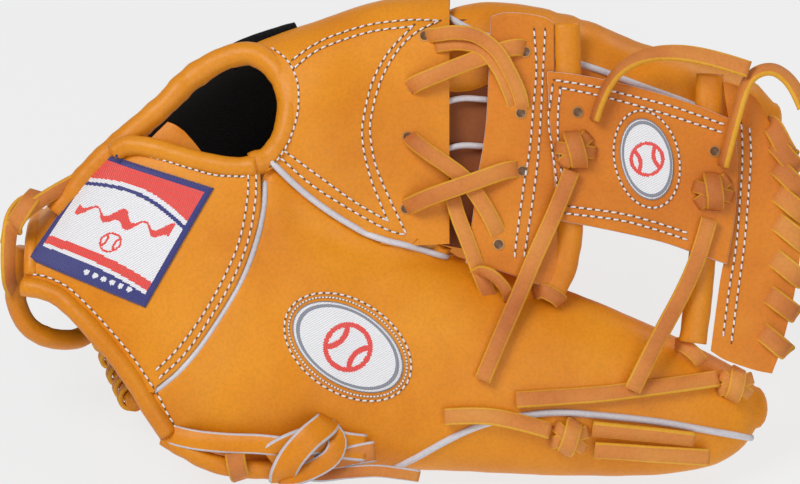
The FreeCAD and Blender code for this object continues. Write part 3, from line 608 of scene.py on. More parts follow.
# %% Rings of a stall
INDEX = [(124, 151, -15, 18, 18), (150, 157, -15, 19, 19), (184, 165, -15, 20, 20), (215, 162, -15, 20, 20),
         (245, 152, -16, 18.5, 19), (270, 145, -17, 17.5, 17), (290, 142, -18, 13, 12), (298, 141, -18, 6, 6)]
MIDDLE = [(124, 150, -57, 18, 19), (160, 157, -58, 20, 20), (200, 160, -58, 20, 20),
          (240, 154, -57, 19.5, 20), (275, 146, -56, 17, 17), (294, 142, -55, 11, 11), (300, 141, -55, 5, 5)]
RING = [(122, 136, -97, 18, 18), (155, 141, -99, 20, 20), (195, 143, -99, 20, 20), (230, 140, -98, 19, 19),
        (262, 135, -95, 16, 16), (280, 133, -93, 10, 10), (286, 132, -93, 5, 5)]
PINKY = [(118, 104, -131, 14.5, 14.5), (145, 106, -138, 18, 18), (180, 110, -138, 18, 18),
         (212, 115, -135, 17, 17), (238, 118, -131, 14, 14), (252, 119, -129, 9, 9), (257, 119, -129, 4, 4)]
THUMB = [(56, 37, -6, 10, 12), (66, 40, -7, 20, 16), (78, 43, -8, 31, 20), (90, 46, -8, 41, 22),
         (104, 61, -8, 60, 24), (118, 57, -8, 54, 25), (140, 51.5, -9, 47, 25), (165, 47.5, -9, 42.5, 25),
         (190, 43.5, -9, 39.5, 24), (220, 38, -9, 35.5, 22), (250, 31.5, -9, 29, 18.5),
         (272, 28, -9, 22, 14.5), (284, 28, -9, 15.5, 10), (290, 29, -9, 8, 5)]
STALL_WALL = 3.2


def between(rows, x):
    """The numbers of a station table at x, on a smooth curve through its rows."""
    k = max(0, min(len(rows) - 2, sum(1 for row in rows if row[0] <= x) - 1))
    here, there = rows[k], rows[k + 1]
    before, after = rows[max(k - 1, 0)], rows[min(k + 2, len(rows) - 1)]
    span = there[0] - here[0]
    t = (x - here[0]) / span
    values = [x]
    for n in range(1, len(here)):
        slope_in = (there[n] - before[n]) / (there[0] - before[0])
        slope_out = (after[n] - here[n]) / (after[0] - here[0])
        values.append((2 * t ** 3 - 3 * t ** 2 + 1) * here[n] + (t ** 3 - 2 * t ** 2 + t) * span * slope_in
                      + (3 * t ** 2 - 2 * t ** 3) * there[n] + (t ** 3 - t ** 2) * span * slope_out)
    return values


def oval_place(station, turn, grow=0.0):
    """A point of the oval at one station. The turn starts at the top of the slope and goes by the front."""
    x, y, z, half_y, half_z = station
    c, s = math.cos(turn), math.sin(turn)
    full = (abs(c) ** 2.5 + abs(s) ** 2.5) ** -0.4
    return x, y + (half_y + grow) * c * full, z + (half_z + grow) * s * full


def ring_places(table, step):
    """The x places of a stall's rings, closer together at the tip, and how much each is drawn in."""
    start, end = table[0][0], table[-1][0]
    count = int((end - start) / step)
    places = [(start + (end - start) * k / count, 1.0) for k in range(count + 1)]
    for turn in (25, 45, 62, 76, 86):
        angle = math.radians(turn)
        places.append((end + table[-1][4] * 0.6 * math.sin(angle), math.cos(angle)))
    return places


def stall(name, table, around=64, step=3.0, crease=None):
    """A finger stall as rings of an oval, closed at the tip and open at the mouth."""
    verts, faces = [], []
    places = ring_places(table, step)
    for x, share in places:
        station = between(table, min(x, table[-1][0]))
        station[0] = x
        station[3] *= share
        station[4] *= share
        for n in range(around):
            turn = 2 * math.pi * n / around
            push = crease(x, turn) if crease else 0.0
            verts.append(spot(*oval_place(station, turn, push)))
    for k in range(len(places) - 1):
        for n in range(around):
            m = (n + 1) % around
            faces.append((k * around + n, k * around + m, (k + 1) * around + m, (k + 1) * around + n))
    last = (len(places) - 1) * around
    faces.append(tuple(last + n for n in range(around)))
    piece = new_piece(name, verts, faces, shell_hide)
    tidy_normals(piece)
    return piece


def knuckle_folds(places, depth=0.9):
    """Shallow folds across the top of a stall, where the finger bends."""
    def fold(x, turn):
        on_top = max(0.0, math.cos(turn - 0.5)) ** 1.5
        return -depth * on_top * sum(math.exp(-((x - place - 2.5 * math.sin(turn * 2)) / 3.2) ** 2)
                                     for place in places)
    return fold


for name, table, folds, seed in (("index", INDEX, (168, 214, 222), 1.0), ("middle", MIDDLE, (176, 222), 2.0),
                                 ("ring", RING, (170, 212), 3.0), ("pinky", PINKY, (160, 200), 4.0)):
    shell = stall(name + "_finger", table, crease=knuckle_folds(folds))
    rumple(shell, 0.45, 22, seed)
    rumple(shell, 0.12, 6, seed + 9)
    give_thickness(shell, STALL_WALL, 0.7)
    stands_for(shell, "hand", "shell_leather", name + "_stall")

# %% [markdown]
# The back of the hand is one curved sheet. It runs from the seam beside the thumb, up the front, over the
# ridge of the knuckles and down the other side. It is made here as a grid, and the parts that other pieces
# fill are cut out of it: the round opening, the strap's place and the thumb's place.

# %% The sheet for the back of the hand
BACK = [(12, [(72, 2), (84, 3.5), (96, -6), (101, -33), (97, -65), (88, -92), (76, -106)]),
        (36, [(50, 9), (85, 10.5), (117, 2), (124, -28), (118, -70), (101, -110), (80, -122)]),
        (62, [(36, 13), (92, 15), (140, 5), (149, -26), (143, -76), (120, -121), (87, -139)]),
        (92, [(60, 13), (118, 15), (158, 4), (166, -26), (160, -78), (136, -130), (95, -152)]),
        (122, [(100, 11), (142, 12), (170, 2), (176.5, -24), (171, -78), (146, -134), (100, -160)]),
        (146, [(92, 6.5), (140, 7.5), (174, 3), (184, -20), (181, -78), (153, -133), (108, -166)]),
        (174, [(92, 5.5), (140, 6), (172, 5), (188, -16), (190, -78), (156, -134), (110, -168)])]
LEATHER = 2.6
STRAP_RIGHT = [(100.5, 120), (100.8, 106), (97.8, 92.5), (91.2, 76), (78, 55), (68.5, 44), (59, 36.5)]
THUMB_LINE = [(103.6, 123), (111, 116), (118.5, 109.7), (127, 103.5), (135.1, 98.6), (148.8, 92.3),
              (160, 90.4), (174, 86)]
RIM_LINE = [(97, 122, 14.5), (103.4, 124.9, 14), (108.6, 131.4, 12.6), (110.9, 140, 11), (110.4, 150, 8.5),
            (105.4, 159, 5.4), (97, 164.4, 3), (87, 163.2, 2), (78, 158.6, 2), (70.4, 152.4, 3),
            (63.5, 145.4, 4), (54, 136.8, 4), (43, 127.5, 3.5), (31, 115.5, 3), (22, 104, 2)]
STRAP_TOP_LINE = [(44.5, 126.5, 9.5), (49, 129.2, 10.5), (56, 129, 12), (66, 126.4, 13.5), (79, 122.8, 15),
                  (90, 121, 16), (99, 121.6, 16.8)]


def sheet_line(x):
    """The sheet's section at x, on a smooth curve through the rows of its table."""
    flat = [(row[0], *[number for point in row[1] for number in point]) for row in BACK]
    values = between(flat, x)[1:]
    return list(zip(values[0::2], values[1::2]))


def smooth_flat(points, per_run=8):
    """A smooth line through (x, v) or (y, z) points, as pairs."""
    return [(p.x, p.y) for p in smooth_line([Vector((a, b, 0)) for a, b in points], per_run)]


def lifted(section, lift):
    """The section pushed out along its own normals."""
    moved = []
    for k, (y, z) in enumerate(section):
        before, after = section[max(k - 1, 0)], section[min(k + 1, len(section) - 1)]
        along = Vector((after[0] - before[0], after[1] - before[1])).normalized()
        moved.append((y - along.y * lift, z + along.x * lift))
    return moved


def sheet_grid(name, start, end, step, lift, material):
    """A grid over the sheet between two x places."""
    rows = int((end - start) / step)
    verts, faces = [], []
    for k in range(rows + 1):
        x = start + (end - start) * k / rows
        section = lifted(smooth_flat(sheet_line(x), 14), lift)
        verts += [spot(x, y, z) for y, z in section]
    wide = len(section)
    for k in range(rows):
        for n in range(wide - 1):
            faces.append((k * wide + n, (k + 1) * wide + n, (k + 1) * wide + n + 1, k * wide + n + 1))
    return new_piece(name, verts, faces, material)


def to_pattern(point):
    """A point of the frame as x, v, w on the pattern, in millimetres."""
    step = (point - PATTERN_START) * 1000
    return step.dot(ALONG), step.dot(UPHILL), step.dot(OUT)


def inside(outline, x, v):
    """Whether a place on the pattern lies inside a closed outline."""
    hit = False
    for (x0, v0), (x1, v1) in zip(outline, [*outline[1:], outline[0]]):
        if (v0 > v) != (v1 > v) and x < (x1 - x0) * (v - v0) / (v1 - v0) + x0:
            hit = not hit
    return hit


def nearest_on(outline, x, v, closed=True):
    """The nearest place of an outline."""
    best = None
    ring = [*outline, outline[0]] if closed else outline
    for (x0, v0), (x1, v1) in zip(ring, ring[1:]):
        dx, dv = x1 - x0, v1 - v0
        t = max(0.0, min(1.0, ((x - x0) * dx + (v - v0) * dv) / max(dx * dx + dv * dv, 1e-9)))
        gap = math.hypot(x - x0 - t * dx, v - v0 - t * dv)
        if best is None or gap < best[0]:
            best = (gap, x0 + t * dx, v0 + t * dv)
    return best


def tree_of(*pieces):
    """A search tree over the pieces' surfaces."""
    verts, faces = [], []
    for piece in pieces:
        base = len(verts)
        verts += [v.co.copy() for v in piece.data.vertices]
        faces += [tuple(base + n for n in f.vertices) for f in piece.data.polygons]
    return BVHTree.FromPolygons(verts, faces)


FRONT_SIDE = 120  # a height well in front of everything on the pattern


def drop(tree, x, v, lift=0.0):
    """The place where something laid at (x, v) from the front would rest, and the surface's normal there."""
    hit, normal, _, _ = tree.ray_cast(spot(x, v, FRONT_SIDE), -OUT)
    if hit is None:
        hit, normal, _, _ = tree.find_nearest(spot(x, v, 5))
    if normal.dot(OUT) < 0:
        normal = -normal
    return hit + normal * (lift / 1000), normal


def cut_away(piece, outlines, keep, deepest=-22.0):
    """Deletes the front faces that lie inside any outline, and pulls the new edge onto that outline."""
    whole = tree_of(piece)
    work = bmesh.new()
    work.from_mesh(piece.data)
    gone = []
    for face in work.faces:
        x, v, w = to_pattern(face.calc_center_median())
        if w > deepest and any(inside(outline, x, v) for outline in outlines) or not keep(x, v, w):
            gone.append(face)
    edge_before = {v for v in work.verts if v.is_boundary}
    bmesh.ops.delete(work, geom=gone, context="FACES")
    for vert in [v for v in work.verts if v.is_boundary and v not in edge_before]:
        x, v, w = to_pattern(vert.co)
        if w < deepest:
            continue
        gap, near_x, near_v = min(nearest_on(outline, x, v) for outline in outlines)
        if gap < 3.5:
            vert.co = drop(whole, near_x, near_v)[0]
    work.to_mesh(piece.data)
    work.free()


def oval_outline(centre, reach, turn, count=64):
    """An oval on the pattern."""
    c, s = math.cos(math.radians(turn)), math.sin(math.radians(turn))
    outline = []
    for n in range(count):
        a = 2 * math.pi * n / count
        across, up = reach[0] * math.cos(a), reach[1] * math.sin(a)
        outline.append((centre[0] + across * c - up * s, centre[1] + across * s + up * c))
    return outline


opening = [(x, v) for x, v, _ in RIM_LINE[1:]] + [(8, 80), (34, 57), (84, 100), (100.6, 112)]
thumb_place = [*STRAP_RIGHT[::-1], *THUMB_LINE, (176, -60), (-40, -60), (-40, 75), (9, 78), (34, 58)]

back_of_hand = sheet_grid("back_of_hand", 12, 172, 2.0, LEATHER, shell_hide)
cut_away(back_of_hand, [opening, thumb_place],
         keep=lambda x, v, w: w > -18 or x < 147)
rumple(back_of_hand, 0.5, 30, 5.0)
rumple(back_of_hand, 0.1, 7, 6.0)
give_thickness(back_of_hand, LEATHER, 0.6)
stands_for(back_of_hand, "hand", "shell_leather", "hand_back_panel")

lining_sheet = sheet_grid("hand_lining", 14, 145, 4.0, -0.8, black_lining)
cut_away(lining_sheet, [opening, thumb_place], keep=lambda x, v, w: True)
give_thickness(lining_sheet, 1.2, 0.3, edge=False)
stands_for(lining_sheet, "hand", "lining", "hand_back_lining")

# %% [markdown]
# The wrist strap is a four-sided flap of the same sheet. A patch between four lines gives it clean edges,
# and then each of its points is laid on the curved sheet.

# %% The wrist strap
def patch_point(low, tall, near, far, n, k):
    """A point of the patch between four lines: step n of the bottom and top, step k of the left and right."""
    a, b = n / (len(low) - 1), k / (len(near) - 1)
    straight = (low[0] * (1 - a) * (1 - b) + low[-1] * a * (1 - b) + tall[0] * (1 - a) * b
                + tall[-1] * a * b)
    return low[n] * (1 - b) + tall[n] * b + near[k] * (1 - a) + far[k] * a - straight


def patch_between(name, bottom, top, left, right, wide, high, material):
    """A grid between four lines that meet at the corners: bottom and top run along, left and right run up."""
    low, tall = evenly(bottom, wide), evenly(top, wide)
    near, far = evenly(left, high), evenly(right, high)
    verts, faces = [], []
    for k in range(high + 1):
        verts += [patch_point(low, tall, near, far, n, k) for n in range(wide + 1)]
    for k in range(high):
        for n in range(wide):
            base = k * (wide + 1) + n
            faces.append((base, base + 1, base + wide + 2, base + wide + 1))
    return new_piece(name, verts, faces, material)


def on_pattern(points, w=0.0):
    """Pattern points in the frame, at one height."""
    return [spot(x, v, w) for x, v in points]


strap_top = smooth_line(on_pattern([(41, 127.5), (49, 129), (56, 128.6), (66, 126.2), (79, 122.8), (90, 121),
                                    (100.5, 120.4)]))
strap_right = smooth_line(on_pattern(STRAP_RIGHT[::-1]))
strap_bottom = smooth_line(on_pattern([(9.5, 78.5), (18, 76.8), (26, 72.6), (33, 67), (41, 58.7), (50, 48.7),
                                       (59, 36.5)]))
strap_left = smooth_line(on_pattern([(9.5, 78.5), (11, 87), (25, 107.5), (41, 127.5)]))
wrist_strap = patch_between("wrist_strap_flap", strap_bottom, strap_top, strap_left, strap_right, 44, 44,
                            shell_hide)
strap_bed = tree_of(sheet_grid("strap_bed", 4, 120, 2.0, LEATHER + 0.3, shell_hide))
bpy.data.objects.remove(bpy.data.objects["strap_bed"])
for vert in wrist_strap.data.vertices:
    x, v, w = to_pattern(vert.co)
    vert.co = drop(strap_bed, x, v)[0]
rumple(wrist_strap, 0.4, 24, 7.0)
give_thickness(wrist_strap, LEATHER, 0.8)
stands_for(wrist_strap, "hand", "shell_leather", "wrist_strap")

# %% [markdown]
# The thumb half is the largest piece. Its rings are cut where the strap and the hand's back meet it, and
# whole along the thumb. It is widest over the heel and closes at the tip.

# %% The thumb half
TUCK = 3.6  # how far the thumb's leather runs on under the strap and the hand's back
TRIM_LEFT = [(x - TUCK, v + 0.3 * TUCK) for x, v in
             [(59, 33), (61, 35.2), (70, 42.6), (79.8, 53.9), (86, 62.5), (93, 74.6), (97, 84.5), (99.8, 92),
              (101.4, 99.5), (102.2, 108), (102.9, 115), (103.4, 122)]]
TRIM_TOP = [TRIM_LEFT[-1], (108, 120.5), (113.6, 116), (120.5, 110.6), (128.4, 104.4), (136, 99.6),
            (142.6, 96.2), (148.8, 94.6)]


def turn_at(x, v):
    """The turn round the thumb's oval at which its front reaches the height v."""
    station = between(THUMB, x)
    low, high = 0.0, math.pi
    for _ in range(40):
        middle = (low + high) / 2
        if oval_place(station, middle)[1] > v:
            low = middle
        else:
            high = middle
    return (low + high) / 2


def thumb_creases(x, turn):
    """A soft hollow between thumb and heel, and dents along the thumb."""
    front = max(0.0, math.sin(turn))
    low = max(0.0, -math.cos(turn))
    hollow = 2.2 * low * front * math.exp(-((x - 124) / 20) ** 2)
    return -hollow + 0.8 * front * math.exp(-((x - 210) / 26) ** 2) * max(0.0, math.cos(turn))


THUMB_TRIM = [*TRIM_LEFT, *TRIM_TOP[1:]]
THUMB_BED = tree_of(sheet_grid("thumb_bed", 4, 172, 2.0, LEATHER, shell_hide))
bpy.data.objects.remove(bpy.data.objects["thumb_bed"])


def beside_the_seam(x, v, w):
    """The front's height, kept level with the strap and the hand's back where the thumb is sewn to them."""
    if x > 175:
        return w
    gap, near_x, near_v = nearest_on(THUMB_TRIM, x, v, closed=False)
    tucked = 3.4 * max(0.0, 1 - gap / TUCK)
    level = to_pattern(drop(THUMB_BED, near_x, near_v)[0])[2] - 0.4 - tucked - 0.012 * gap * gap
    return (w + level + math.sqrt((w - level) ** 2 + 9)) / 2 - 0.8


TURN_SCALE = 40.0  # millimetres that one radian round the oval counts for
THUMB_START, THUMB_TIP = 59, 290  # the first and the last x of the thumb's leather


def unrolled(points):
    """Places on the thumb's surface laid flat: x along, and the turn round the oval as a length."""
    return [Vector((x, turn * TURN_SCALE, 0)) for x, turn in points]


def thumb_half(wide=110, high=64):
    """One patch for the front, and its mirror image for the pocket side, closed at the tip."""
    left = unrolled([(THUMB_START, math.pi)] + [(x, turn_at(x, v)) for x, v in TRIM_LEFT])
    top = unrolled([(x, turn_at(x, v)) for x, v in TRIM_TOP] + [(156, 0.02), (166, 0), (THUMB_TIP, 0)])
    bottom = unrolled([(THUMB_START, math.pi), (THUMB_TIP, math.pi)])
    low, tall = evenly(bottom, wide), evenly(top, wide)
    near, far = evenly(left, high), evenly(unrolled([(THUMB_TIP, math.pi), (THUMB_TIP, 0)]), high)
    verts, faces = [], []
    caps = [(THUMB_TIP + 4.5 * math.sin(math.radians(t)), math.cos(math.radians(t)))
            for t in (25, 48, 66, 80)]
    row = wide + 1 + len(caps)
    for side in (1, -1):
        base = len(verts)
        for k in range(high + 1):
            for n in range(wide + 1):
                flat = patch_point(low, tall, near, far, n, k)
                x, turn = min(flat.x, THUMB_TIP), max(0.0, flat.y / TURN_SCALE)
                place = oval_place(between(THUMB, x), side * turn, thumb_creases(x, side * turn))
                if side > 0 and 0.02 < k / high:
                    place = (place[0], place[1], max(place[2], beside_the_seam(*place)))
                verts.append(spot(*place))
            for x, share in caps:
                station = between(THUMB, THUMB_TIP)
                station[0], station[3], station[4] = x, station[3] * share, station[4] * share
                verts.append(spot(*oval_place(station, side * far[k].y / TURN_SCALE)))
        for k in range(high):
            for n in range(row - 1):
                corner = base + k * row + n
                face = (corner, corner + 1, corner + row + 1, corner + row)
                faces.append(face if side > 0 else face[::-1])
    piece = new_piece("thumb_half", verts, faces, shell_hide)
    tidy_normals(piece)
    return piece


def ease_corner(piece, x, v, reach, rounds=18):
    """Relaxes the front of a piece around one corner, where its grid lines crowd together."""
    work = bmesh.new()
    work.from_mesh(piece.data)
    crowded = []
    for vert in work.verts:
        there = to_pattern(vert.co)
        if not vert.is_boundary and there[2] > -2 and math.hypot(there[0] - x, there[1] - v) < reach:
            crowded.append(vert)
    for _ in range(rounds):
        bmesh.ops.smooth_vert(work, verts=crowded, factor=0.5, use_axis_x=True, use_axis_y=True,
                              use_axis_z=True)
    work.to_mesh(piece.data)
    work.free()


thumb_shell = thumb_half()
if sum(p.normal.dot(p.center - spot(170, 45, -9)) for p in thumb_shell.data.polygons) < 0:
    thumb_shell.data.flip_normals()
ease_corner(thumb_shell, 104, 104, 24)
rumple(thumb_shell, 0.7, 34, 8.0)
rumple(thumb_shell, 0.12, 6, 9.0)
give_thickness(thumb_shell, STALL_WALL, 0.7)
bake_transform(thumb_shell)
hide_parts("thumb_shell")
print("thumb half:", len(thumb_shell.data.polygons),
      "faces; its top corner stays with the hand as the thumb closes")

# %% [markdown]
# A rolled edge is a strip of soft leather turned over a cord and sewn down. It reads as a round tube whose
# girth changes a little along it, with small pinches where it bends. So each is a tube along a line, with
# its own radius at each place.

# %% Rolled edges and welts
def tube(name, line, radius, material, around=16, pinches=0.0, flat=1.0, seed=0.0):
    """A round tube along a line. `pinches` draws it in at places. `flat` squeezes it towards the leather."""
    verts, faces = [], []
    count = len(line)
    for k, point in enumerate(line):
        along = heading(line, k)
        side = along.cross(OUT).normalized()
        up = side.cross(along).normalized()
        wave = noise.noise(Vector((k * 0.35, seed, 0))) * pinches
        for n in range(around):
            a = 2 * math.pi * n / around
            reach = radius * (1 + wave) / 1000
            verts.append(point + side * (reach * math.cos(a)) + up * (reach * flat * math.sin(a)))
    for k in range(count - 1):
        for n in range(around):
            m = (n + 1) % around
            faces.append((k * around + n, k * around + m, (k + 1) * around + m, (k + 1) * around + n))
    faces.append(tuple(range(around)))
    faces.append(tuple((count - 1) * around + n for n in range(around)))
    piece = new_piece(name, verts, faces, material)
    tidy_normals(piece)
    return piece


def along_pattern(points, spacing=1.5):
    """A smooth line through pattern points (x, v, w), in steps of about `spacing` millimetres."""
    line = smooth_line([spot(*p) for p in points])
    return evenly(line, max(4, int(line_length(line) * 1000 / spacing)))


rim_roll = tube("opening_rim_roll", along_pattern(RIM_LINE), 4.7, binding_hide, around=20, pinches=0.10,
                seed=1.0)
rumple(rim_roll, 0.35, 8, 11.0)
stands_for(rim_roll, "hand", "binding_leather", "opening_binding")

strap_top_roll = tube("strap_top_roll", along_pattern(STRAP_TOP_LINE), 3.9, binding_hide, around=20,
                      pinches=0.06, seed=2.0)
rumple(strap_top_roll, 0.25, 9, 12.0)
stands_for(strap_top_roll, "hand", "binding_leather")

WRIST_ROLL = [(9.5, 75.8, 6), (17, 74.6, 8), (24, 71.6, 9.5), (31, 65.6, 11), (38.5, 57.6, 12.2),
              (46.5, 48.4, 13), (53.5, 38.6, 13.2), (59.5, 28.6, 12), (65, 20, 9.5)]
wrist_roll = tube("wrist_edge_roll", along_pattern(WRIST_ROLL), 3.8, binding_hide, around=20, pinches=0.06,
                  seed=3.0)
rumple(wrist_roll, 0.25, 10, 13.0)
stands_for(wrist_roll, "hand", "binding_leather", "wrist_binding")

HEEL_ROLL = [(30, 58, -90), (34.5, 51, -78), (39, 44, -64), (44, 37, -47), (47.6, 32.6, -33), (50, 29.8, -22)]
heel_roll = tube("heel_edge_roll", along_pattern(HEEL_ROLL), 3.4, binding_hide, around=18, pinches=0.05,
                 seed=4.0)
stands_for(heel_roll, "hand", "binding_leather", "heel_binding")

HEEL_LOOP = [(9, 90, -8), (5.6, 80, -10), (4.6, 70, -14), (8.5, 60.5, -18), (16, 55.5, -23), (25, 54.5, -30),
             (31, 57, -38)]
heel_loop = tube("heel_loop", along_pattern(HEEL_LOOP), 4.0, binding_hide, around=18, pinches=0.05, flat=1.5,
                 seed=5.0)
stands_for(heel_loop, "hand", "binding_leather", "heel_tab")

STRAP_WELT = [(102.3, 121), (102.1, 114), (101.7, 106), (98.9, 92.7), (92.3, 76.2), (79.1, 55.1),
              (69.9, 43.9), (60.5, 36)]
THUMB_WELT = [(104.4, 123.2), (111, 116.6), (118.5, 110), (127, 103.8), (135.1, 98.8), (142, 95.4),
              (148.8, 93), (156, 91.4), (164, 89), (171, 87)]
front_shells = tree_of(back_of_hand, wrist_strap, thumb_shell)


def welt_on(name, tree, points, radius, lift, body, *nodes):
    """A welt laid on the leather along pattern points."""
    flat = evenly(smooth_line([Vector((x, v, 0)) for x, v in points]), 60)
    line = [drop(tree, p.x, p.y, lift)[0] for p in flat]
    for _ in range(3):
        line = [line[0]] + [(a + 2 * b + c) / 4 for a, b, c in zip(line, line[1:], line[2:])] + [line[-1]]
    welt = tube(name, line, radius, welt_hide, around=12)
    return stands_for(welt, body, "piping", *nodes)


welt_on("strap_welt", front_shells, STRAP_WELT, 1.15, 0.2, "hand", "strap_piping")
welt_on("thumb_top_welt", front_shells, THUMB_WELT, 1.25, 0.2, "hand", "thumb_top_piping")
index_tree = tree_of(bpy.data.objects["index_finger"])
INDEX_WELT = [(171.5, 178.6), (182.5, 172.4), (200, 167.5), (222.8, 160.3), (232.7, 157), (247, 151.6),
              (261.7, 146.5), (270, 143)]
welt_on("index_welt", index_tree, INDEX_WELT, 1.3, 0.7, "hand", "index_piping")
THUMB_LOW_WELT = [(148, 5.5), (158, 10), (170, 17), (184, 23.5), (200, 27), (212, 28.2), (224, 27.5),
                  (250, 24.6), (270, 21), (288, 17.6)]
welt_on("thumb_low_welt", tree_of(thumb_shell), THUMB_LOW_WELT, 1.35, 0.4, "thumb", "thumb_piping")

# %% [markdown]
# Lock stitches in white thread hold every seam. A stitch is a short thread that dives into the leather at
# both ends. Each is one small arch with a few dozen faces, and a row of them lies on the leather along its
# line, with a dark dash of painted shade for the needle hole between one stitch and the next.

# %% Stitches
def stitch_shape(length, thick):
    """Points and faces of one stitch, lying along X and standing in Z, in millimetres."""
    verts, faces, sides = [], [], 6
    for k, along in enumerate((-1.0, -0.75, 0.0, 0.75, 1.0)):
        high = (0.42, 0.9, 1.05, 0.9, 0.42)[k] * thick - 0.35 * thick
        girth = (0.35, 0.9, 1.0, 0.9, 0.35)[k] * thick / 2
        for n in range(sides):
            a = 2 * math.pi * n / sides
            verts.append((along * length / 2, girth * 1.25 * math.cos(a), high + girth * math.sin(a)))
    for k in range(4):
        for n in range(sides):
            m = (n + 1) % sides
            faces.append((k * sides + n, (k + 1) * sides + n, (k + 1) * sides + m, k * sides + m))
    faces += [tuple(range(sides)), tuple(4 * sides + n for n in reversed(range(sides)))]
    return verts, faces


STITCH_LIFT = 0.12  # how far a stitch lies above the leather
# The needle hole is a short dark dash of painted shade between two stitches.
HOLE_OVERLAP, HOLE_THICK = 0.55, 0.42  # a needle hole runs in under both stitches


def sew(name, tree, rows, body, slot, spacing=3.1, length=2.25, thick=0.62, slant=6.0, closed=False):
    """Rows of stitches laid on a surface along smooth lines through pattern points."""
    shape, shape_faces = stitch_shape(length, thick)
    hole, hole_faces = stitch_shape(spacing - length + HOLE_OVERLAP, HOLE_THICK)
    verts, faces, kinds = [], [], []
    for row in rows:
        flat = smooth_line([Vector((x, v, 0)) for x, v in row])
        if closed:
            flat.append(flat[0].copy())
        count = max(2, round(line_length(flat) / spacing))
        places = evenly(flat, count * 2)
        for k in range(len(places) - 1):
            before, after = places[max(k - 1, 0)], places[k + 1]
            here, normal = drop(tree, places[k].x, places[k].y, STITCH_LIFT)
            along = (drop(tree, after.x, after.y, STITCH_LIFT)[0]
                     - drop(tree, before.x, before.y, STITCH_LIFT)[0])
            along = (along - normal * along.dot(normal)).normalized()
            is_thread = k % 2 == 1
            turn = slant + random.uniform(-3, 3) if is_thread else 0
            along = Matrix.Rotation(math.radians(turn), 3, normal) @ along
            side = normal.cross(along)
            points, sides = (shape, shape_faces) if is_thread else (hole, hole_faces)
            base = len(verts)
            verts += [here + (along * px + side * py + normal * pz) / 1000 for px, py, pz in points]
            faces += [tuple(base + n for n in f) for f in sides]
            kinds += [0 if is_thread else 1] * len(sides)
    piece = new_piece(name, verts, faces, white_thread)
    piece.data.materials.append(painted_hole_shade)
    piece.data.polygons.foreach_set("material_index", kinds)
    return stands_for(piece, body, slot)


HAND_ROWS = [
    [(112.4, 161.9), (119.5, 167), (127.5, 171), (141.2, 175.3), (156.3, 177.2), (168.1, 177)],
    [(112.8, 158.5), (120.5, 164.6), (129.1, 168.6), (142.7, 172.8), (158.6, 174.8)],
    [(158.6, 175.4), (148.8, 164.9), (142.7, 153.6), (139.3, 139.9), (138.9, 130.9), (141.9, 117.2),
     (148.8, 100)],
    [(168.4, 177), (159.3, 172.4), (151.8, 164.9), (145.7, 153.6), (142.1, 139.9), (142.1, 130.9),
     (145, 118.7), (155.6, 95.6)],
    [(108.6, 127.7), (120.7, 118.9), (135.1, 108.5), (148.6, 100.6)],
    [(107.6, 124.8), (120.7, 113.6), (138.1, 102.8), (148.8, 97.2), (155.4, 95.4)],
]
sew("hand_back_stitches", tree_of(back_of_hand), HAND_ROWS, "hand", "shell_leather")
sew("strap_stitches", front_shells, [
    [(96, 119), (95.4, 108), (92.3, 92.7), (85.7, 77.5), (77.2, 63), (68.6, 51.8), (60.5, 43.9)],
    [(98.9, 119), (98.5, 108), (95.6, 92.7), (89.6, 78), (79.6, 61.2), (71.2, 49.8), (61.6, 40.8)],
], "hand", "shell_leather")
sew("strap_top_stitches", front_shells, [
    [(45.5, 126.6), (53, 126.2), (63.3, 123.7), (74.5, 120.3), (83.8, 117.9), (95, 117.4)]],
    "hand", "shell_leather", spacing=2.5, length=1.8)

# %% [markdown]
# The opening's roll is stitched all round, a few millimetres out from the hole, and so is the strap's top
# roll.

# %% Stitches of the rolls
all_front = tree_of(back_of_hand, wrist_strap, rim_roll, strap_top_roll, wrist_roll, thumb_shell)
sew("opening_stitches", all_front, [
    [(104.2, 121.4), (108.4, 126.3), (112.4, 133.9), (114.6, 143), (114.3, 153.2), (110.4, 161.6),
     (103.6, 167)]],
    "hand", "binding_leather", spacing=2.6, length=1.9)
sew("wrist_roll_stitches", all_front, [
    [(12.5, 80.6), (19.1, 79.4), (26.4, 76.1), (32.6, 71), (40, 63.4), (46.8, 55.8), (53.2, 47.8), (58, 40.6),
     (61.4, 35.3), (65, 28), (68.6, 21.1)]], "hand", "binding_leather")

# %% [markdown]
# The web is flat leather, cut with a knife: a bar beside the hand, a panel across, and a bar by the thumb's
# tip. The cut edges are pale. Each is a patch between four lines at its own level, bent a little, with a
# real thickness.

# %% Web bars and panel
WEB_LEATHER = 2.6
BAR_LEVEL, PANEL_LEVEL = 12.6, 15.6  # how far the faces of the bars and the panel stand out of the slope
TOP_BAR_EDGE = [(294.3, 42.8), (297.6, 52), (302.6, 72), (305.2, 90), (305.4, 106), (302, 122), (291.6, 141)]


def face_front(piece):
    """Turns a sheet's faces to the front, where its first one looks away from it."""
    start = piece.data.vertices[0].co
    if to_pattern(start + piece.data.polygons[0].normal)[2] < to_pattern(start)[2]:
        piece.data.flip_normals()


def slab(name, bottom, top, left, right, level, body, slot, *nodes, wide=40, high=60, bend=0.0, edge=None,
         thick=WEB_LEATHER):
    """A flat piece of web leather between four lines of (x, v). Its face is at `level`, and its middle is raised
    by `bend`."""
    lines = [smooth_line(on_pattern(line, level)) for line in (bottom, top, left, right)]
    piece = patch_between(name, *lines, wide, high, web_tone_and_shade_hide)
    for k in range(high + 1):
        for n in range(wide + 1):
            swell = bend * math.sin(math.pi * n / wide) * (0.6 + 0.4 * math.sin(math.pi * k / high))
            piece.data.vertices[k * (wide + 1) + n].co += OUT * (swell / 1000)
    rumple(piece, 0.35, 18, level)
    face_front(piece)
    give_thickness(piece, thick, 0.5)
    if edge:
        piece.data.materials[1] = edge
    return stands_for(piece, body, slot, *nodes)


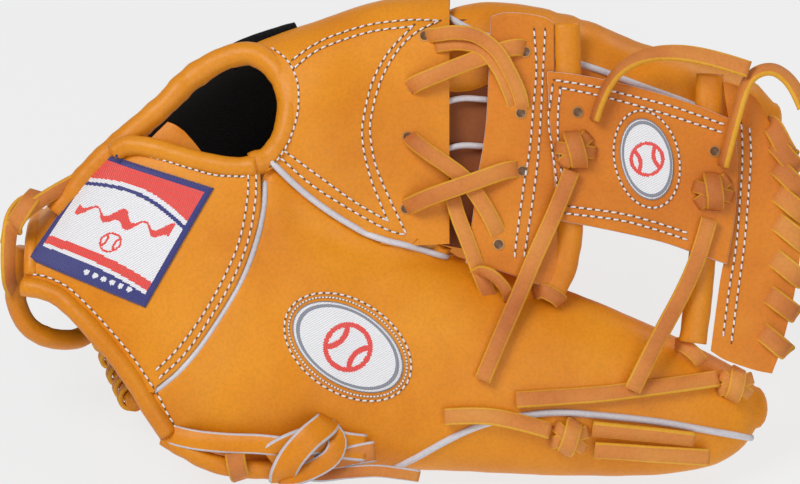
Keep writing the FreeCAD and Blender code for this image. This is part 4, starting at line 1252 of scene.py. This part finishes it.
base_bar = slab("web_base_bar_leather", [(178, 84.6), (187.4, 82.8), (197.2, 79.6), (204, 77), (213.5, 75.2)],
                [(187.6, 178.2), (192, 179.6), (199, 179.6), (207.8, 178), (211.6, 175.8)],
                [(178, 84.6), (180.4, 100), (182.8, 118.7), (184.6, 129), (185.9, 140), (186.8, 158),
                 (187.6, 178.2)],
                [(213.5, 75.2), (212.8, 100), (212.4, 130), (212, 155), (211.6, 175.8)], BAR_LEVEL, "web",
                "shell_leather", "web_base_bar", bend=1.0, edge=welt_hide)
base_roll = tube("web_base_roll_leather",
                 along_pattern([(216.6, 175.6, 10.6), (217, 160, 10.8), (217.4, 130, 10.6),
                                (217.8, 100, 10.4), (215.6, 84, 10.4), (211.5, 74.5, 10)]), 5.0, binding_hide,
                 around=22, pinches=0.05, flat=0.62, seed=8.0)
rumple(base_roll, 0.3, 12, 21.0)
stands_for(base_roll, "web", "binding_leather", "web_base_roll")
top_bar = slab("web_top_bar_leather", [(271, 51.4), (276, 48.2), (282.1, 45.9), (289, 43.8), (294.3, 42.8)],
               [(275.6, 153.4), (280, 152.4), (285, 149.6), (289, 146), (291.6, 141)],
               [(271, 51.4), (272.9, 66), (274.9, 80), (277.5, 92.7), (279.2, 112), (279, 130),
                (275.6, 153.4)],
               TOP_BAR_EDGE, BAR_LEVEL, "web", "shell_leather", "web_top_bar", bend=1.2, edge=welt_hide)
top_roll = tube("web_top_roll_leather", along_pattern([(271, 156.4, 10.6), (270.4, 140, 10.8),
                                                       (269.6, 110, 10.6), (268, 86, 10.4),
                (266.4, 70, 10.4), (264.4, 54.5, 9.6)]), 5.2, binding_hide, around=22, pinches=0.05,
                flat=0.62, seed=9.0)
rumple(top_roll, 0.3, 12, 22.0)
stands_for(top_roll, "web", "binding_leather", "web_top_roll")
centre_panel = slab("web_centre_panel_leather",
                    [(213.6, 100.8), (228, 98), (250, 93.2), (262, 89.4), (277, 84.2)],
                    [(208.8, 157.4), (222, 155.8), (240, 152), (262, 145.6), (280, 138.6)],
                    [(213.6, 100.8), (211.6, 116), (210, 136), (208.8, 157.4)],
                    [(277, 84.2), (280, 102), (281, 120), (280, 138.6)], PANEL_LEVEL, "web", "shell_leather",
                    "web_center_panel", wide=60, high=50, bend=1.0, edge=welt_hide)
web_tree = tree_of(base_bar, base_roll, top_bar, top_roll, centre_panel)
sew("web_stitches", web_tree, [
    [(204, 173.3), (204.8, 158), (203.6, 143), (202.5, 129.3), (199.9, 112.7), (197.2, 92.7), (196.6, 86.4)],
    [(208.2, 173.3), (207.4, 158.9), (206.3, 136.9), (204.8, 118.7), (201.6, 96), (200.2, 86.6)],
    [(211.6, 154), (229.4, 151), (234, 149.6), (255.8, 144), (276.2, 137)],
    [(213.9, 151), (228.7, 148), (249.2, 142.4), (275.4, 134)],
    [(217.2, 106.2), (236, 103.6), (249.2, 100.3), (262.3, 96)],
    [(215.5, 103.6), (236, 101), (249.2, 97.6), (262.3, 93.4)],
    [(210.9, 152), (209.8, 140), (211.4, 124), (213, 112)],
    [(213.9, 151), (212.9, 140), (213.4, 126), (215.6, 112)],
    [(282.6, 137.9), (283, 126), (282.4, 112.8), (280.8, 92.7), (278, 74.9), (275.6, 56.4)],
    [(278.8, 54.7), (281.5, 75.5), (283.8, 92.7), (285.4, 112.8), (286.2, 126), (285.6, 136.5)],
], "web", "shell_leather")

# %% [markdown]
# Between the hand's back and the base bar the glove is open, and its deep inside shows: a dark sheet of
# painted shade, crossed by two pale welts. A thin roll binds the sheet's cut end at the wrist. A thinner one
# lies across the stalls, past the cut end at the fingers.

# %% Painted shade in the gap, and bound ends of the hand's back
# A dark sheet of painted shade fills the gap, standing for the shadow deep inside the glove.
slab("gap_painted_shade_sheet", [(168, 92), (178, 90), (189, 88)], [(168, 177), (178, 178), (189, 178)],
     [(168, 92), (168, 130), (168, 177)], [(189, 88), (189, 130), (189, 178)], 2.6, "hand", "inner_leather",
     wide=12, high=40, bend=-1.6, edge=painted_shade_hide, thick=1.6)
bpy.data.objects["gap_painted_shade_sheet"].data.materials[0] = painted_shade_hide
for number, height in enumerate((147, 129)):
    gap_welt = tube(f"gap_welt_{number + 1}",
                    along_pattern([(168.4, height - 1.5, 5), (177, height + 0.5, 5.2), (187, height, 4.4)]),
                    1.2, welt_hide, around=10)
    stands_for(gap_welt, "hand", "piping")


def bound_end(name, x, first, last, radius, seed):
    """A thin roll along the sheet's section at x, between two shares of that section."""
    section = lifted(smooth_flat(sheet_line(x), 14), 1.2)
    chosen = section[int(first * (len(section) - 1)):int(last * (len(section) - 1)) + 1]
    line = evenly([spot(x, y, z) for y, z in chosen], 90)
    roll = tube(name, line, radius, binding_hide, around=14, pinches=0.05, seed=seed)
    return stands_for(roll, "hand", "binding_leather")


bound_end("finger_end_roll", 171.6, 0.66, 0.995, 2.0, 51.0)
bound_end("wrist_end_roll", 12.6, 0.12, 0.995, 3.0, 52.0)

# %% [markdown]
# Two bits of the lining show round the opening: its black edge above the roll, and a tan flap of the inner
# leather low in the hole.

# %% Lining edge and inner flap
top_lining = tube("top_lining_edge", along_pattern([(87, 165.4, -6), (96, 169.4, -8), (105, 172.6, -10),
                                                    (113, 175, -12)]), 2.8,
                  black_lining, around=14, pinches=0.05, seed=61.0)
stands_for(top_lining, "hand", "lining")
slab("opening_inner_flap", [(56, 130), (66, 128.6), (78, 126.6)],
     [(64.6, 138.6), (67.6, 137.4), (70.9, 135.2)], [(56, 130), (60.4, 134.4), (64.6, 138.6)],
     [(78, 126.6), (74.8, 130.8), (70.9, 135.2)], 6.5, "hand", "inner_leather", wide=10, high=10, bend=1.0,
     thick=1.6)

# %% [markdown]
# The patches are machine embroidery on a felt backing. Each is a fine mesh laid on the leather, and each
# small face takes the thread that lies there. The marks are plain ones: a ball with two curved seams,
# pennant waves and dots.

# %% Embroidered patches
def ball_mark(across, up, size):
    """Whether a place belongs to the stitched outline of a ball with two curved seams."""
    reach = math.hypot(across, up)
    if reach > size or reach < size * 0.10:
        return False
    seam = min(abs(math.hypot(across - size * 1.25, up) - size * 0.86),
               abs(math.hypot(across + size * 1.25, up) - size * 0.86))
    return reach > size * 0.80 or seam < size * 0.115


def patch_finish(piece, threads, kinds, lift):
    """Gives a patch its threads, its felt thickness and its soft edge."""
    for thread in threads[1:]:
        piece.data.materials.append(thread)
    piece.data.polygons.foreach_set("material_index", kinds)
    tidy_normals(piece)
    face_front(piece)
    solid = piece.modifiers.new("felt", "SOLIDIFY")
    solid.thickness, solid.offset = lift / 1000, -1
    apply_all(piece)


def oval_patch(name, tree, centre, reach, turn, mark_turn, mark_size, body, slot, *nodes, rings=44,
               around=150):
    """An oval patch: white satin, a grey line, a white edge, and the ball mark in red."""
    c, s = math.cos(math.radians(turn)), math.sin(math.radians(turn))
    mc, ms = math.cos(math.radians(mark_turn)), math.sin(math.radians(mark_turn))
    verts, faces, kinds = [], [], []
    for k in range(rings + 1):
        share = k / rings
        for n in range(around):
            a = 2 * math.pi * n / around
            across, up = reach[0] * share * math.cos(a), reach[1] * share * math.sin(a)
            edge = 1.2 if share < 0.96 else 0.5
            verts.append(drop(tree, centre[0] + across * c - up * s, centre[1] + across * s + up * c,
                              edge)[0])
    for k in range(rings):
        for n in range(around):
            m = (n + 1) % around
            faces.append((k * around + n, (k + 1) * around + n, (k + 1) * around + m, k * around + m))
            share, a = (k + 0.5) / rings, 2 * math.pi * (n + 0.5) / around
            across, up = reach[0] * share * math.cos(a), reach[1] * share * math.sin(a)
            if share > 0.97 or 0.86 < share < 0.93:
                kinds.append(2)
            else:
                kinds.append(1 if ball_mark(across * mc - up * ms, across * ms + up * mc, mark_size) else 0)
    piece = new_piece(name, verts, faces, white_satin)
    patch_finish(piece, [white_satin, coral_satin, grey_satin], kinds, 1.0)
    return stands_for(piece, body, slot, *nodes)


def ring_row(patch, reach, count=28):
    """An oval round a patch, as a row for stitches."""
    centre, _, turn = patch
    return oval_outline(centre, reach, turn, count)


thumb_tree = tree_of(thumb_shell)
THUMB_PATCH = ((133.5, 53), (23.2, 14.2), -33.0)
oval_patch("thumb_oval_patch", thumb_tree, *THUMB_PATCH, 12, 9.4, "thumb", "patch_white", "thumb_patch")
sew("thumb_patch_stitches", thumb_tree, [ring_row(THUMB_PATCH, (26.2, 17.4))], "thumb",
    "shell_leather", closed=True, spacing=2.7, length=2.0)
sew("thumb_patch_inner_stitches", thumb_tree, [ring_row(THUMB_PATCH, (24.6, 15.7))], "thumb",
    "shell_leather", closed=True, spacing=1.3, length=1.1, thick=0.55)
WEB_PATCH = ((246.5, 124), (9.8, 15.6), 12.0)
panel_tree = tree_of(centre_panel)
oval_patch("web_oval_patch", panel_tree, *WEB_PATCH, 0, 6.6, "web", "patch_white", "web_patch", rings=34,
           around=110)
sew("web_patch_stitches", panel_tree, [ring_row(WEB_PATCH, (12.2, 18.6))], "web", "shell_leather",
    closed=True, spacing=2.4, length=1.7)


def wrist_field(s, t):
    """Which thread lies at a place of the wrist patch: across s and up t, each from 0 to 1."""
    rim = 0.05
    if min(s, 1 - s, t, 1 - t) < rim:
        return 0
    crest = 0.70 + 0.13 * math.sin(math.pi * min(1.0, s * 0.92 + 0.12))
    if t > crest:
        return 1
    if t > crest - 0.035:
        return 2
    if t > crest - 0.065:
        return 0
    trough = 0.25 - 0.16 * (s - 0.35) ** 2
    if t < trough - 0.10:
        dot = math.hypot((s * 14) % 1.0 - 0.5, (t - 0.085) * 14)
        return 2 if dot < 0.30 and 0.42 < s < 0.86 else 0
    if t < trough - 0.07:
        return 2
    if t < trough:
        return 1
    if abs(s - 0.5) < 0.11 and abs(t - 0.36) < 0.10 and ball_mark((s - 0.5) * 48, (t - 0.36) * 48, 4.0):
        return 1
    wave = 0.555 + 0.035 * math.sin(s * 31) + 0.05 * (s - 0.5)
    thick = 0.030 + 0.022 * math.sin(s * 15.5 + 0.6)
    if 0.12 < s < 0.88 and abs(t - wave) < thick:
        return 1
    return 2


WRIST_PATCH_CORNERS = [(11.5, 86.2), (57.1, 67.8), (83.1, 113), (39.4, 126.8)]


def wrist_patch(count=116):
    """The square wrist patch, laid on the strap between its four corners."""
    tree = tree_of(wrist_strap, wrist_roll, strap_top_roll)
    a, b, c, d = [Vector((x, v, 0)) for x, v in WRIST_PATCH_CORNERS]
    verts, faces, kinds = [], [], []
    for k in range(count + 1):
        t = k / count
        for n in range(count + 1):
            s = n / count
            p = a * (1 - s) * (1 - t) + b * s * (1 - t) + c * s * t + d * (1 - s) * t
            rounded = 1.5 - 1.0 * max(0.0, 1 - min(s, 1 - s, t, 1 - t) * count / 2.0)
            verts.append(drop(tree, p.x, p.y, rounded)[0])
    for k in range(count):
        for n in range(count):
            base = k * (count + 1) + n
            faces.append((base, base + 1, base + count + 2, base + count + 1))
            kinds.append(wrist_field((n + 0.5) / count, (k + 0.5) / count))
    piece = new_piece("wrist_square_patch", verts, faces, navy_satin)
    patch_finish(piece, [navy_satin, coral_satin, white_satin], kinds, 1.3)
    return stands_for(piece, "hand", "patch_navy", "wrist_patch")


wrist_patch()

# %% [markdown]
# Flat laces tie the web to the hand. Each is one strip of rawhide pushed through an eyelet, drawn across
# and pushed through the next. The strips bow up where they cross, and dive where they go in.

# %% Crossing laces, foot laces and eyelets
STRIP_STEP = 1.6  # millimetres between two sections of a lace or a strap


def lace(name, points, body, *nodes, width=6.2, thick=2.0, lean=(0, 0)):
    """One lace along pattern points."""
    line = along_pattern(points, STRIP_STEP)
    strip = flat_strip(name, line, width / 1000, thick / 1000, leaning(line, *lean), [lace_hide, lace_edge])
    return stands_for(strip, body, "lace_leather", *nodes)


def bridge(name, points, *nodes, width, lean=(0, 0)):
    """A lace from the hand to the web, baked into the frame and tied to no body."""
    line = along_pattern(points, STRIP_STEP)
    strip = flat_strip(name, line, width / 1000, 0.002, leaning(line, *lean), [lace_hide, lace_edge])
    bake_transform(strip)
    if nodes:
        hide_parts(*nodes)
    print(name, len(strip.data.polygons), "faces, between the hand and the web")


bridge("cross_lace_upper_long", [(156.8, 151.2, 8), (159.3, 152.8, 12), (166, 155.6, 14), (176, 159.6, 14.6),
                                 (187, 163.6, 15.4), (195, 166, 15.6), (199, 166.4, 14), (201, 165.8, 10)],
       "base_lace_upper", width=6.6, lean=(0, 0))
bridge("cross_lace_upper_over", [(163.2, 171.4, 6), (166.6, 171.4, 11), (174, 172, 15), (182, 170.6, 17.4),
                                 (189.6, 165, 18.2), (194.6, 157, 17.6), (198.2, 149.4, 15.8),
                                 (199.6, 144, 13.6), (200, 141, 9)], width=5.6, lean=(8, 10))
bridge("cross_lace_upper_under", [(167, 167, 9), (176, 167.6, 13), (184, 165.4, 15.8), (190, 158.4, 16),
                                  (194, 150, 15), (196, 144.6, 12.4), (196.4, 141, 8)], width=4.8,
       lean=(-6, -8))
bridge("cross_lace_lower_long", [(156.6, 133.4, 7), (158.4, 131, 12), (164, 126.6, 14.4), (171, 121.8, 14.6),
                                 (178, 116.2, 14.8), (184, 108, 15), (188, 101, 14.8), (190.6, 95.4, 12),
                                 (191.2, 92.6, 8)], "base_lace_lower", width=6.4)
bridge("cross_lace_lower_over", [(155, 105.6, 7), (158.4, 107.2, 12.4), (165, 110, 16), (173.6, 113, 18.6),
                                 (184, 116.6, 17), (192, 119.4, 15.4), (197, 120.4, 13.4), (199.4, 120.4, 9)],
       width=6.8, lean=(4, 0))
lace("foot_lace", [(173, 110, 12), (175.4, 102, 13), (179, 92.7, 13.2), (182.6, 83, 12.4),
                   (185.6, 75.6, 10.6), (187.6, 71.4, 7.6), (188.4, 69.6, 3)], "hand", "base_foot_lace",
     width=6.0)
lace("foot_loop", [(181.4, 80.6, 11), (184, 81.8, 15.4), (188.6, 80, 17.4), (193.4, 74.6, 15.4),
                   (194.6, 70.4, 10)], "hand", width=4.4,
     lean=(30, 10))
lace("foot_bit", [(204.4, 73.6, 9), (207.6, 74.2, 12.6), (212.4, 71.8, 13), (214.4, 70, 9)], "thumb",
     "base_foot_bit", width=6.0)
lace("top_foot_bit_lace", [(259, 53.6, 4), (261.4, 53.2, 8.4), (265.6, 49.8, 9.6), (268, 46.8, 7)], "thumb",
     "top_foot_bit", width=5.6)


def eyelets(name, places, tree, body, reach=1.9, around=14):
    """Punched holes with a rolled edge: a small bowl of painted shade in a thin ring."""
    verts, faces, kinds = [], [], []
    for x, v in places:
        base = len(verts)
        for k, (share, rise) in enumerate(((1.25, 0.05), (1.12, 0.42), (0.92, 0.38), (0.75, 0.12),
                                           (0.02, 0.08))):
            for n in range(around):
                a = 2 * math.pi * n / around
                verts.append(drop(tree, x + reach * share * math.cos(a), v + reach * share * math.sin(a),
                                  rise)[0])
            if k:
                inner, outer = base + k * around, base + (k - 1) * around
                for n in range(around):
                    m = (n + 1) % around
                    faces.append((outer + n, outer + m, inner + m, inner + n))
                    kinds.append(0 if k < 3 else 1)
    piece = new_piece(name, verts, faces, raw_edge)
    piece.data.materials.append(painted_hole_shade)
    piece.data.polygons.foreach_set("material_index", kinds)
    return stands_for(piece, body, "shell_leather")


eyelets("hand_eyelets", [(158, 151.8), (162.6, 171.2), (156.2, 132.6), (155.4, 105.4)], tree_of(back_of_hand),
        "hand")
eyelets("bar_eyelets", [(200.6, 164.8), (199, 141.6), (199.6, 119.6), (190.6, 91.8)], tree_of(base_bar),
        "web")
eyelets("panel_eyelets", [(220.5, 141.8), (272.2, 127)], panel_tree, "web")

RIM_SLOTS = [(294.3, 136.6), (295.2, 130), (295.9, 121.4), (296.3, 111), (296.2, 100.2), (295, 86.7),
             (293.2, 72.6), (290.8, 58.4)]
for number, (x, v) in enumerate(RIM_SLOTS):
    out, down = (10.5, -7.5) if number < 6 else (9.6, -6.5)
    _, far_x, far_v = nearest_on(TOP_BAR_EDGE, x + out, v + down, closed=False)
    lace(f"rim_lace_turn_{number + 1}", [(x - 1.2, v + 0.8, 9), (x, v, 13.4),
                                         (x + (far_x - x) * 0.35, v + (far_v - v) * 0.35, 15.6),
         (x + (far_x - x) * 0.75, v + (far_v - v) * 0.75, 15.4), (far_x + 0.9, far_v - 0.6, 13.4),
         (far_x + 1.7, far_v - 0.6, 10.6), (far_x + 0.2, far_v - 0.2, 8.2)], "web",
         *(("web_rim_lace",) if number == 0 else ()), width=7.6, thick=2.0, lean=(6, 0))

# %% [markdown]
# A lace is locked by a flat knot: the end is slit and the lace is pulled through and round itself. Seen
# from the front it is one broad turn over the lace with two ends leaving from under it. Each knot is three
# short strips.

# %% Knots
def knot(name, centre, level, turn, body, *nodes, size=1.0):
    """A broad turn across, and two strips crossing under it. `turn` points the broad turn along its lace."""
    def at(along, across, rise):
        c, s = math.cos(math.radians(turn)), math.sin(math.radians(turn))
        return (centre[0] + (along * c - across * s) * size, centre[1] + (along * s + across * c) * size,
                level + rise * size)
    lace(name + "_under_a", [at(-6.6, -3.6, -1.6), at(-4, -2.4, 1.0), at(0, 0, 2.2), at(4, 2.4, 1.0),
                             at(6.6, 3.6, -1.4)], body, *nodes,
         width=5.4 * size)
    lace(name + "_under_b", [at(-6.4, 3.4, -1.8), at(-4, 2.0, 1.2), at(0, -0.4, 2.8), at(4, -2.2, 1.2),
                             at(6.6, -3.4, -1.4)], body,
         width=5.0 * size, lean=(0, 8))
    lace(name + "_turn", [at(-0.6, -6.2, -2.2), at(-0.4, -5.4, 1.6), at(0, -2.6, 4.6), at(0.2, 0, 5.2),
                          at(0.4, 2.8, 4.6), at(0.6, 5.4, 1.6), at(0.8, 6.2, -2.2)], body, width=6.6 * size,
         thick=2.2)


knot("left_knot", (219.4, 127.4), 18.2, 20, "web", "web_knot_left")
knot("right_knot", (271.4, 111.8), 18.0, 12, "web", "web_knot_right")
knot("lower_thumb_knot", (217.4, 18.8), 15.4, -12, "thumb", "thumb_knot", size=0.95)
knot("tip_knot", (281, 38.4), 5.4, -8, "thumb", "thumb_tip_knot", size=0.9)

# %% [markdown]
# A wide strap closes the thumb's heel. It is soft leather with a pale cut edge, tied in one big flat knot
# whose tails fan out. The band and the tails are strips; the knot is broad strips laid over each other.

# %% The heel strap and its knot
def strap(name, points, body, *nodes, width, thick=2.4, lean=(0, 0), hide=shell_hide):
    """A strip of strap leather with a pale cut edge."""
    line = along_pattern(points, STRIP_STEP)
    strip = flat_strip(name, line, width / 1000, thick / 1000, leaning(line, *lean), [hide, welt_hide])
    return stands_for(strip, body, "shell_leather", *nodes)


strap("heel_strap_band", [(63.8, 20.4, 6), (67, 19.4, 10.6), (76, 17.6, 13.2), (88, 16.6, 15), (99, 16.4, 17),
                          (108, 15.6, 18.4)],
      "thumb", "thumb_strap_band", width=7.6, lean=(-6, 4))
strap("heel_strap_knot_back", [(104, 11, 16.4), (110, 14.6, 19.2), (118, 17.6, 20.4), (126, 17.4, 19),
                               (133, 15.6, 16.4), (140, 14.6, 13.6)], "thumb", "thumb_strap_knot", width=10.5,
      lean=(10, -8), hide=binding_hide)
strap("heel_strap_knot_turn", [(108.4, 2.4, 13.6), (109.4, 6, 19.4), (113, 12.4, 23.6), (119, 19, 24.2),
                               (124.6, 23.4, 20.6), (126, 25, 15)], "thumb", width=10.0, thick=2.6,
      lean=(14, -10))
strap("heel_strap_knot_front", [(125.4, 23, 15.6), (129.4, 18, 19.6), (127.6, 12, 21.6), (121, 7.4, 20.6),
                                (114, 4.6, 18.6), (108, 4, 14.6)], "thumb", width=7.4, lean=(-10, 10),
      hide=binding_hide)
strap("heel_strap_tail_low", [(113, 6, 15.6), (122, 4.4, 17), (133, 5.4, 16), (144, 6, 14.4), (153, 5, 12.6),
                              (160.4, 3.8, 10.4)],
      "thumb", "thumb_strap_ends", width=4.8, thick=2.0, lean=(-16, 12), hide=lace_hide)
strap("heel_strap_tail_fan", [(121, 9.6, 18), (128, 10.6, 17.6), (136, 12.2, 15.4), (143.6, 13.4, 13)],
      "thumb", width=8.0, thick=2.0, lean=(24, 8), hide=lace_hide)
lace("heel_lip_ring", [(90, 13.4, 8), (90.6, 12.6, 14.6), (91.4, 8.4, 16.4), (92.2, 4.4, 12), (92.6, 3, 7)],
     "thumb", width=7.6, thick=2.2)
HEEL_LIP = [(63.6, 18.6, 7.6), (72.5, 13.4, 9.6), (80, 9.6, 10.2), (90, 6.8, 10), (103.4, 6, 9),
            (116, 4.4, 8)]
heel_lip = tube("thumb_heel_lip", along_pattern(HEEL_LIP), 3.6, binding_hide, around=18, pinches=0.06,
                seed=14.0)
rumple(heel_lip, 0.25, 9, 31.0)
stands_for(heel_lip, "thumb", "binding_leather")

# %% [markdown]
# The heel is laced round its rolled edge, and a lace closes the wrist. The rings are short turns of the
# same lace.

# %% Heel rings and wrist lace
def ring_round(name, centre, along, reach, body, *nodes, width=4.6, thick=1.9, steps=26):
    """One closed turn of lace round a roll."""
    side = along.cross(OUT).normalized()
    up = side.cross(along).normalized()
    loop, looks = [], []
    for n in range(steps):
        a = 2 * math.pi * n / steps
        away = side * math.cos(a) + up * math.sin(a)
        loop.append(centre + away * (reach / 1000) + along * (0.0012 * math.sin(a)))
        looks.append(away)
    strip = flat_strip(name, loop, width / 1000, thick / 1000, looks, [lace_hide, lace_edge], closed=True)
    return stands_for(strip, body, "lace_leather", *nodes)


heel_line = along_pattern(HEEL_ROLL, 2.0)
for number, share in enumerate((0.14, 0.34, 0.54, 0.72, 0.88)):
    k = int(share * (len(heel_line) - 1))
    ring_round(f"heel_lace_ring_{number + 1}", heel_line[k],
               (heel_line[k + 1] - heel_line[k - 1]).normalized(), 4.9, "hand",
               *(("heel_lace",) if number == 0 else ()))
lace("wrist_lace_band", [(11.6, 108.6, 2), (8.4, 106.4, 5.6), (5.6, 101.6, 8), (4.4, 94, 8.2), (3.8, 86, 6.4),
                         (3.6, 78, 1), (4.2, 74, -6)], "hand", "wrist_lace", width=6.4, lean=(-34, -50))
lace("wrist_lace_loop", [(31.6, 117.6, 1), (26, 114.4, 5.4), (18, 109.4, 8.6), (10.6, 103.8, 10),
                         (5.4, 98.4, 9), (3.4, 92.4, 5)],
     "hand", width=5.6, lean=(-30, -20))
lace("wrist_lace_knot", [(14.6, 111.6, 4), (12.6, 108.6, 10.4), (9.8, 104, 13), (7, 99.8, 11), (6, 97.4, 5)],
     "hand", width=6.8, lean=(20, 10))

# %% [markdown]
# The pocket side is soft. The palm is one skin over a felt pad, and the pad is a stuffed bag: it is settled
# as cloth under a little pressure, so that it swells and dimples as real padding does. The skins are
# remeshed from their CAD shapes, relaxed, and dented.

# %% Palm skin, palm pad and the lining
def soft_copy(node, name, voxel_mm, relax, material):
    """A relaxed copy of a CAD node's shape, with its place in its mesh."""
    source = frame["nodes"][node]
    mesh = source.data.copy()
    mesh.transform(source.matrix_world)
    piece = bpy.data.objects.new(name, mesh)
    bpy.context.scene.collection.objects.link(piece)
    mesh.materials.clear()
    mesh.materials.append(material)
    work = bmesh.new()
    work.from_mesh(mesh)
    bmesh.ops.remove_doubles(work, verts=work.verts, dist=0.00001)
    work.to_mesh(mesh)
    work.free()
    fine = piece.modifiers.new("even_mesh", "REMESH")
    fine.mode, fine.voxel_size = "VOXEL", voxel_mm / 1000
    soft = piece.modifiers.new("relax", "SMOOTH")
    soft.factor, soft.iterations = 0.5, relax
    apply_all(piece)
    piece.data.polygons.foreach_set("use_smooth", [True] * len(piece.data.polygons))
    return piece


def settle(piece, frames=20, pressure=4.0, reach_mm=3.0):
    """Swells a pad as cloth under a little pressure, and holds each point near its start."""
    start = [v.co.copy() for v in piece.data.vertices]
    cloth = piece.modifiers.new("stuffing", "CLOTH")
    cloth.settings.use_pressure = True
    cloth.settings.uniform_pressure_force = pressure
    cloth.settings.effector_weights.gravity = 0
    cloth.point_cache.frame_start, cloth.point_cache.frame_end = 1, frames
    scene = bpy.context.scene
    for number in range(1, frames + 1):
        scene.frame_set(number)
    bpy.context.view_layer.update()
    apply_all(piece)
    scene.frame_set(1)
    for v, before in zip(piece.data.vertices, start):
        moved = v.co - before
        if moved.length > reach_mm / 1000:
            v.co = before + moved.normalized() * (reach_mm / 1000)


palm_skin = soft_copy("palm_shell", "palm_skin", 2.2, 8, shell_hide)
rumple(palm_skin, 0.7, 30, 41.0)
rumple(palm_skin, 0.15, 7, 42.0)
stands_for(palm_skin, "hand", "shell_leather", "palm_shell")
palm_padding = soft_copy("palm_pad", "palm_felt_pad", 3.0, 4, felt)
settle(palm_padding)
stands_for(palm_padding, "hand", "felt", "palm_pad")
palm_cloth = soft_copy("palm_lining", "palm_lining_cloth", 2.0, 4, black_lining)
rumple(palm_cloth, 0.35, 9, 43.0)
stands_for(palm_cloth, "hand", "lining", "palm_lining")
heel_padding = soft_copy("thumb_heel_pad", "thumb_heel_felt_pad", 3.0, 4, felt)
settle(heel_padding)
stands_for(heel_padding, "thumb", "felt", "thumb_heel_pad")
finger_tie = soft_copy("finger_lace", "finger_tip_laces", 0.7, 2, lace_hide)
stands_for(finger_tie, "hand", "lace_leather", "finger_lace")
strap_cloth = soft_copy("strap_lining", "strap_lining_cloth", 1.4, 6, black_lining)
for vert in strap_cloth.data.vertices:
    vert.co -= OUT * 0.0016
stands_for(strap_cloth, "hand", "lining", "strap_lining")

# %% [markdown]
# The CAD shapes that still show are the stall linings and the plastic stay, which sit deep inside. They
# take a material for what they are made of.

# %% Materials for the CAD pieces that stay
for node, solid in frame["nodes"].items():
    finish = inner_hide if "liner" in node else stay_plastic if "stay" in node else shell_hide
    solid.data.materials.clear()
    solid.data.materials.append(finish)
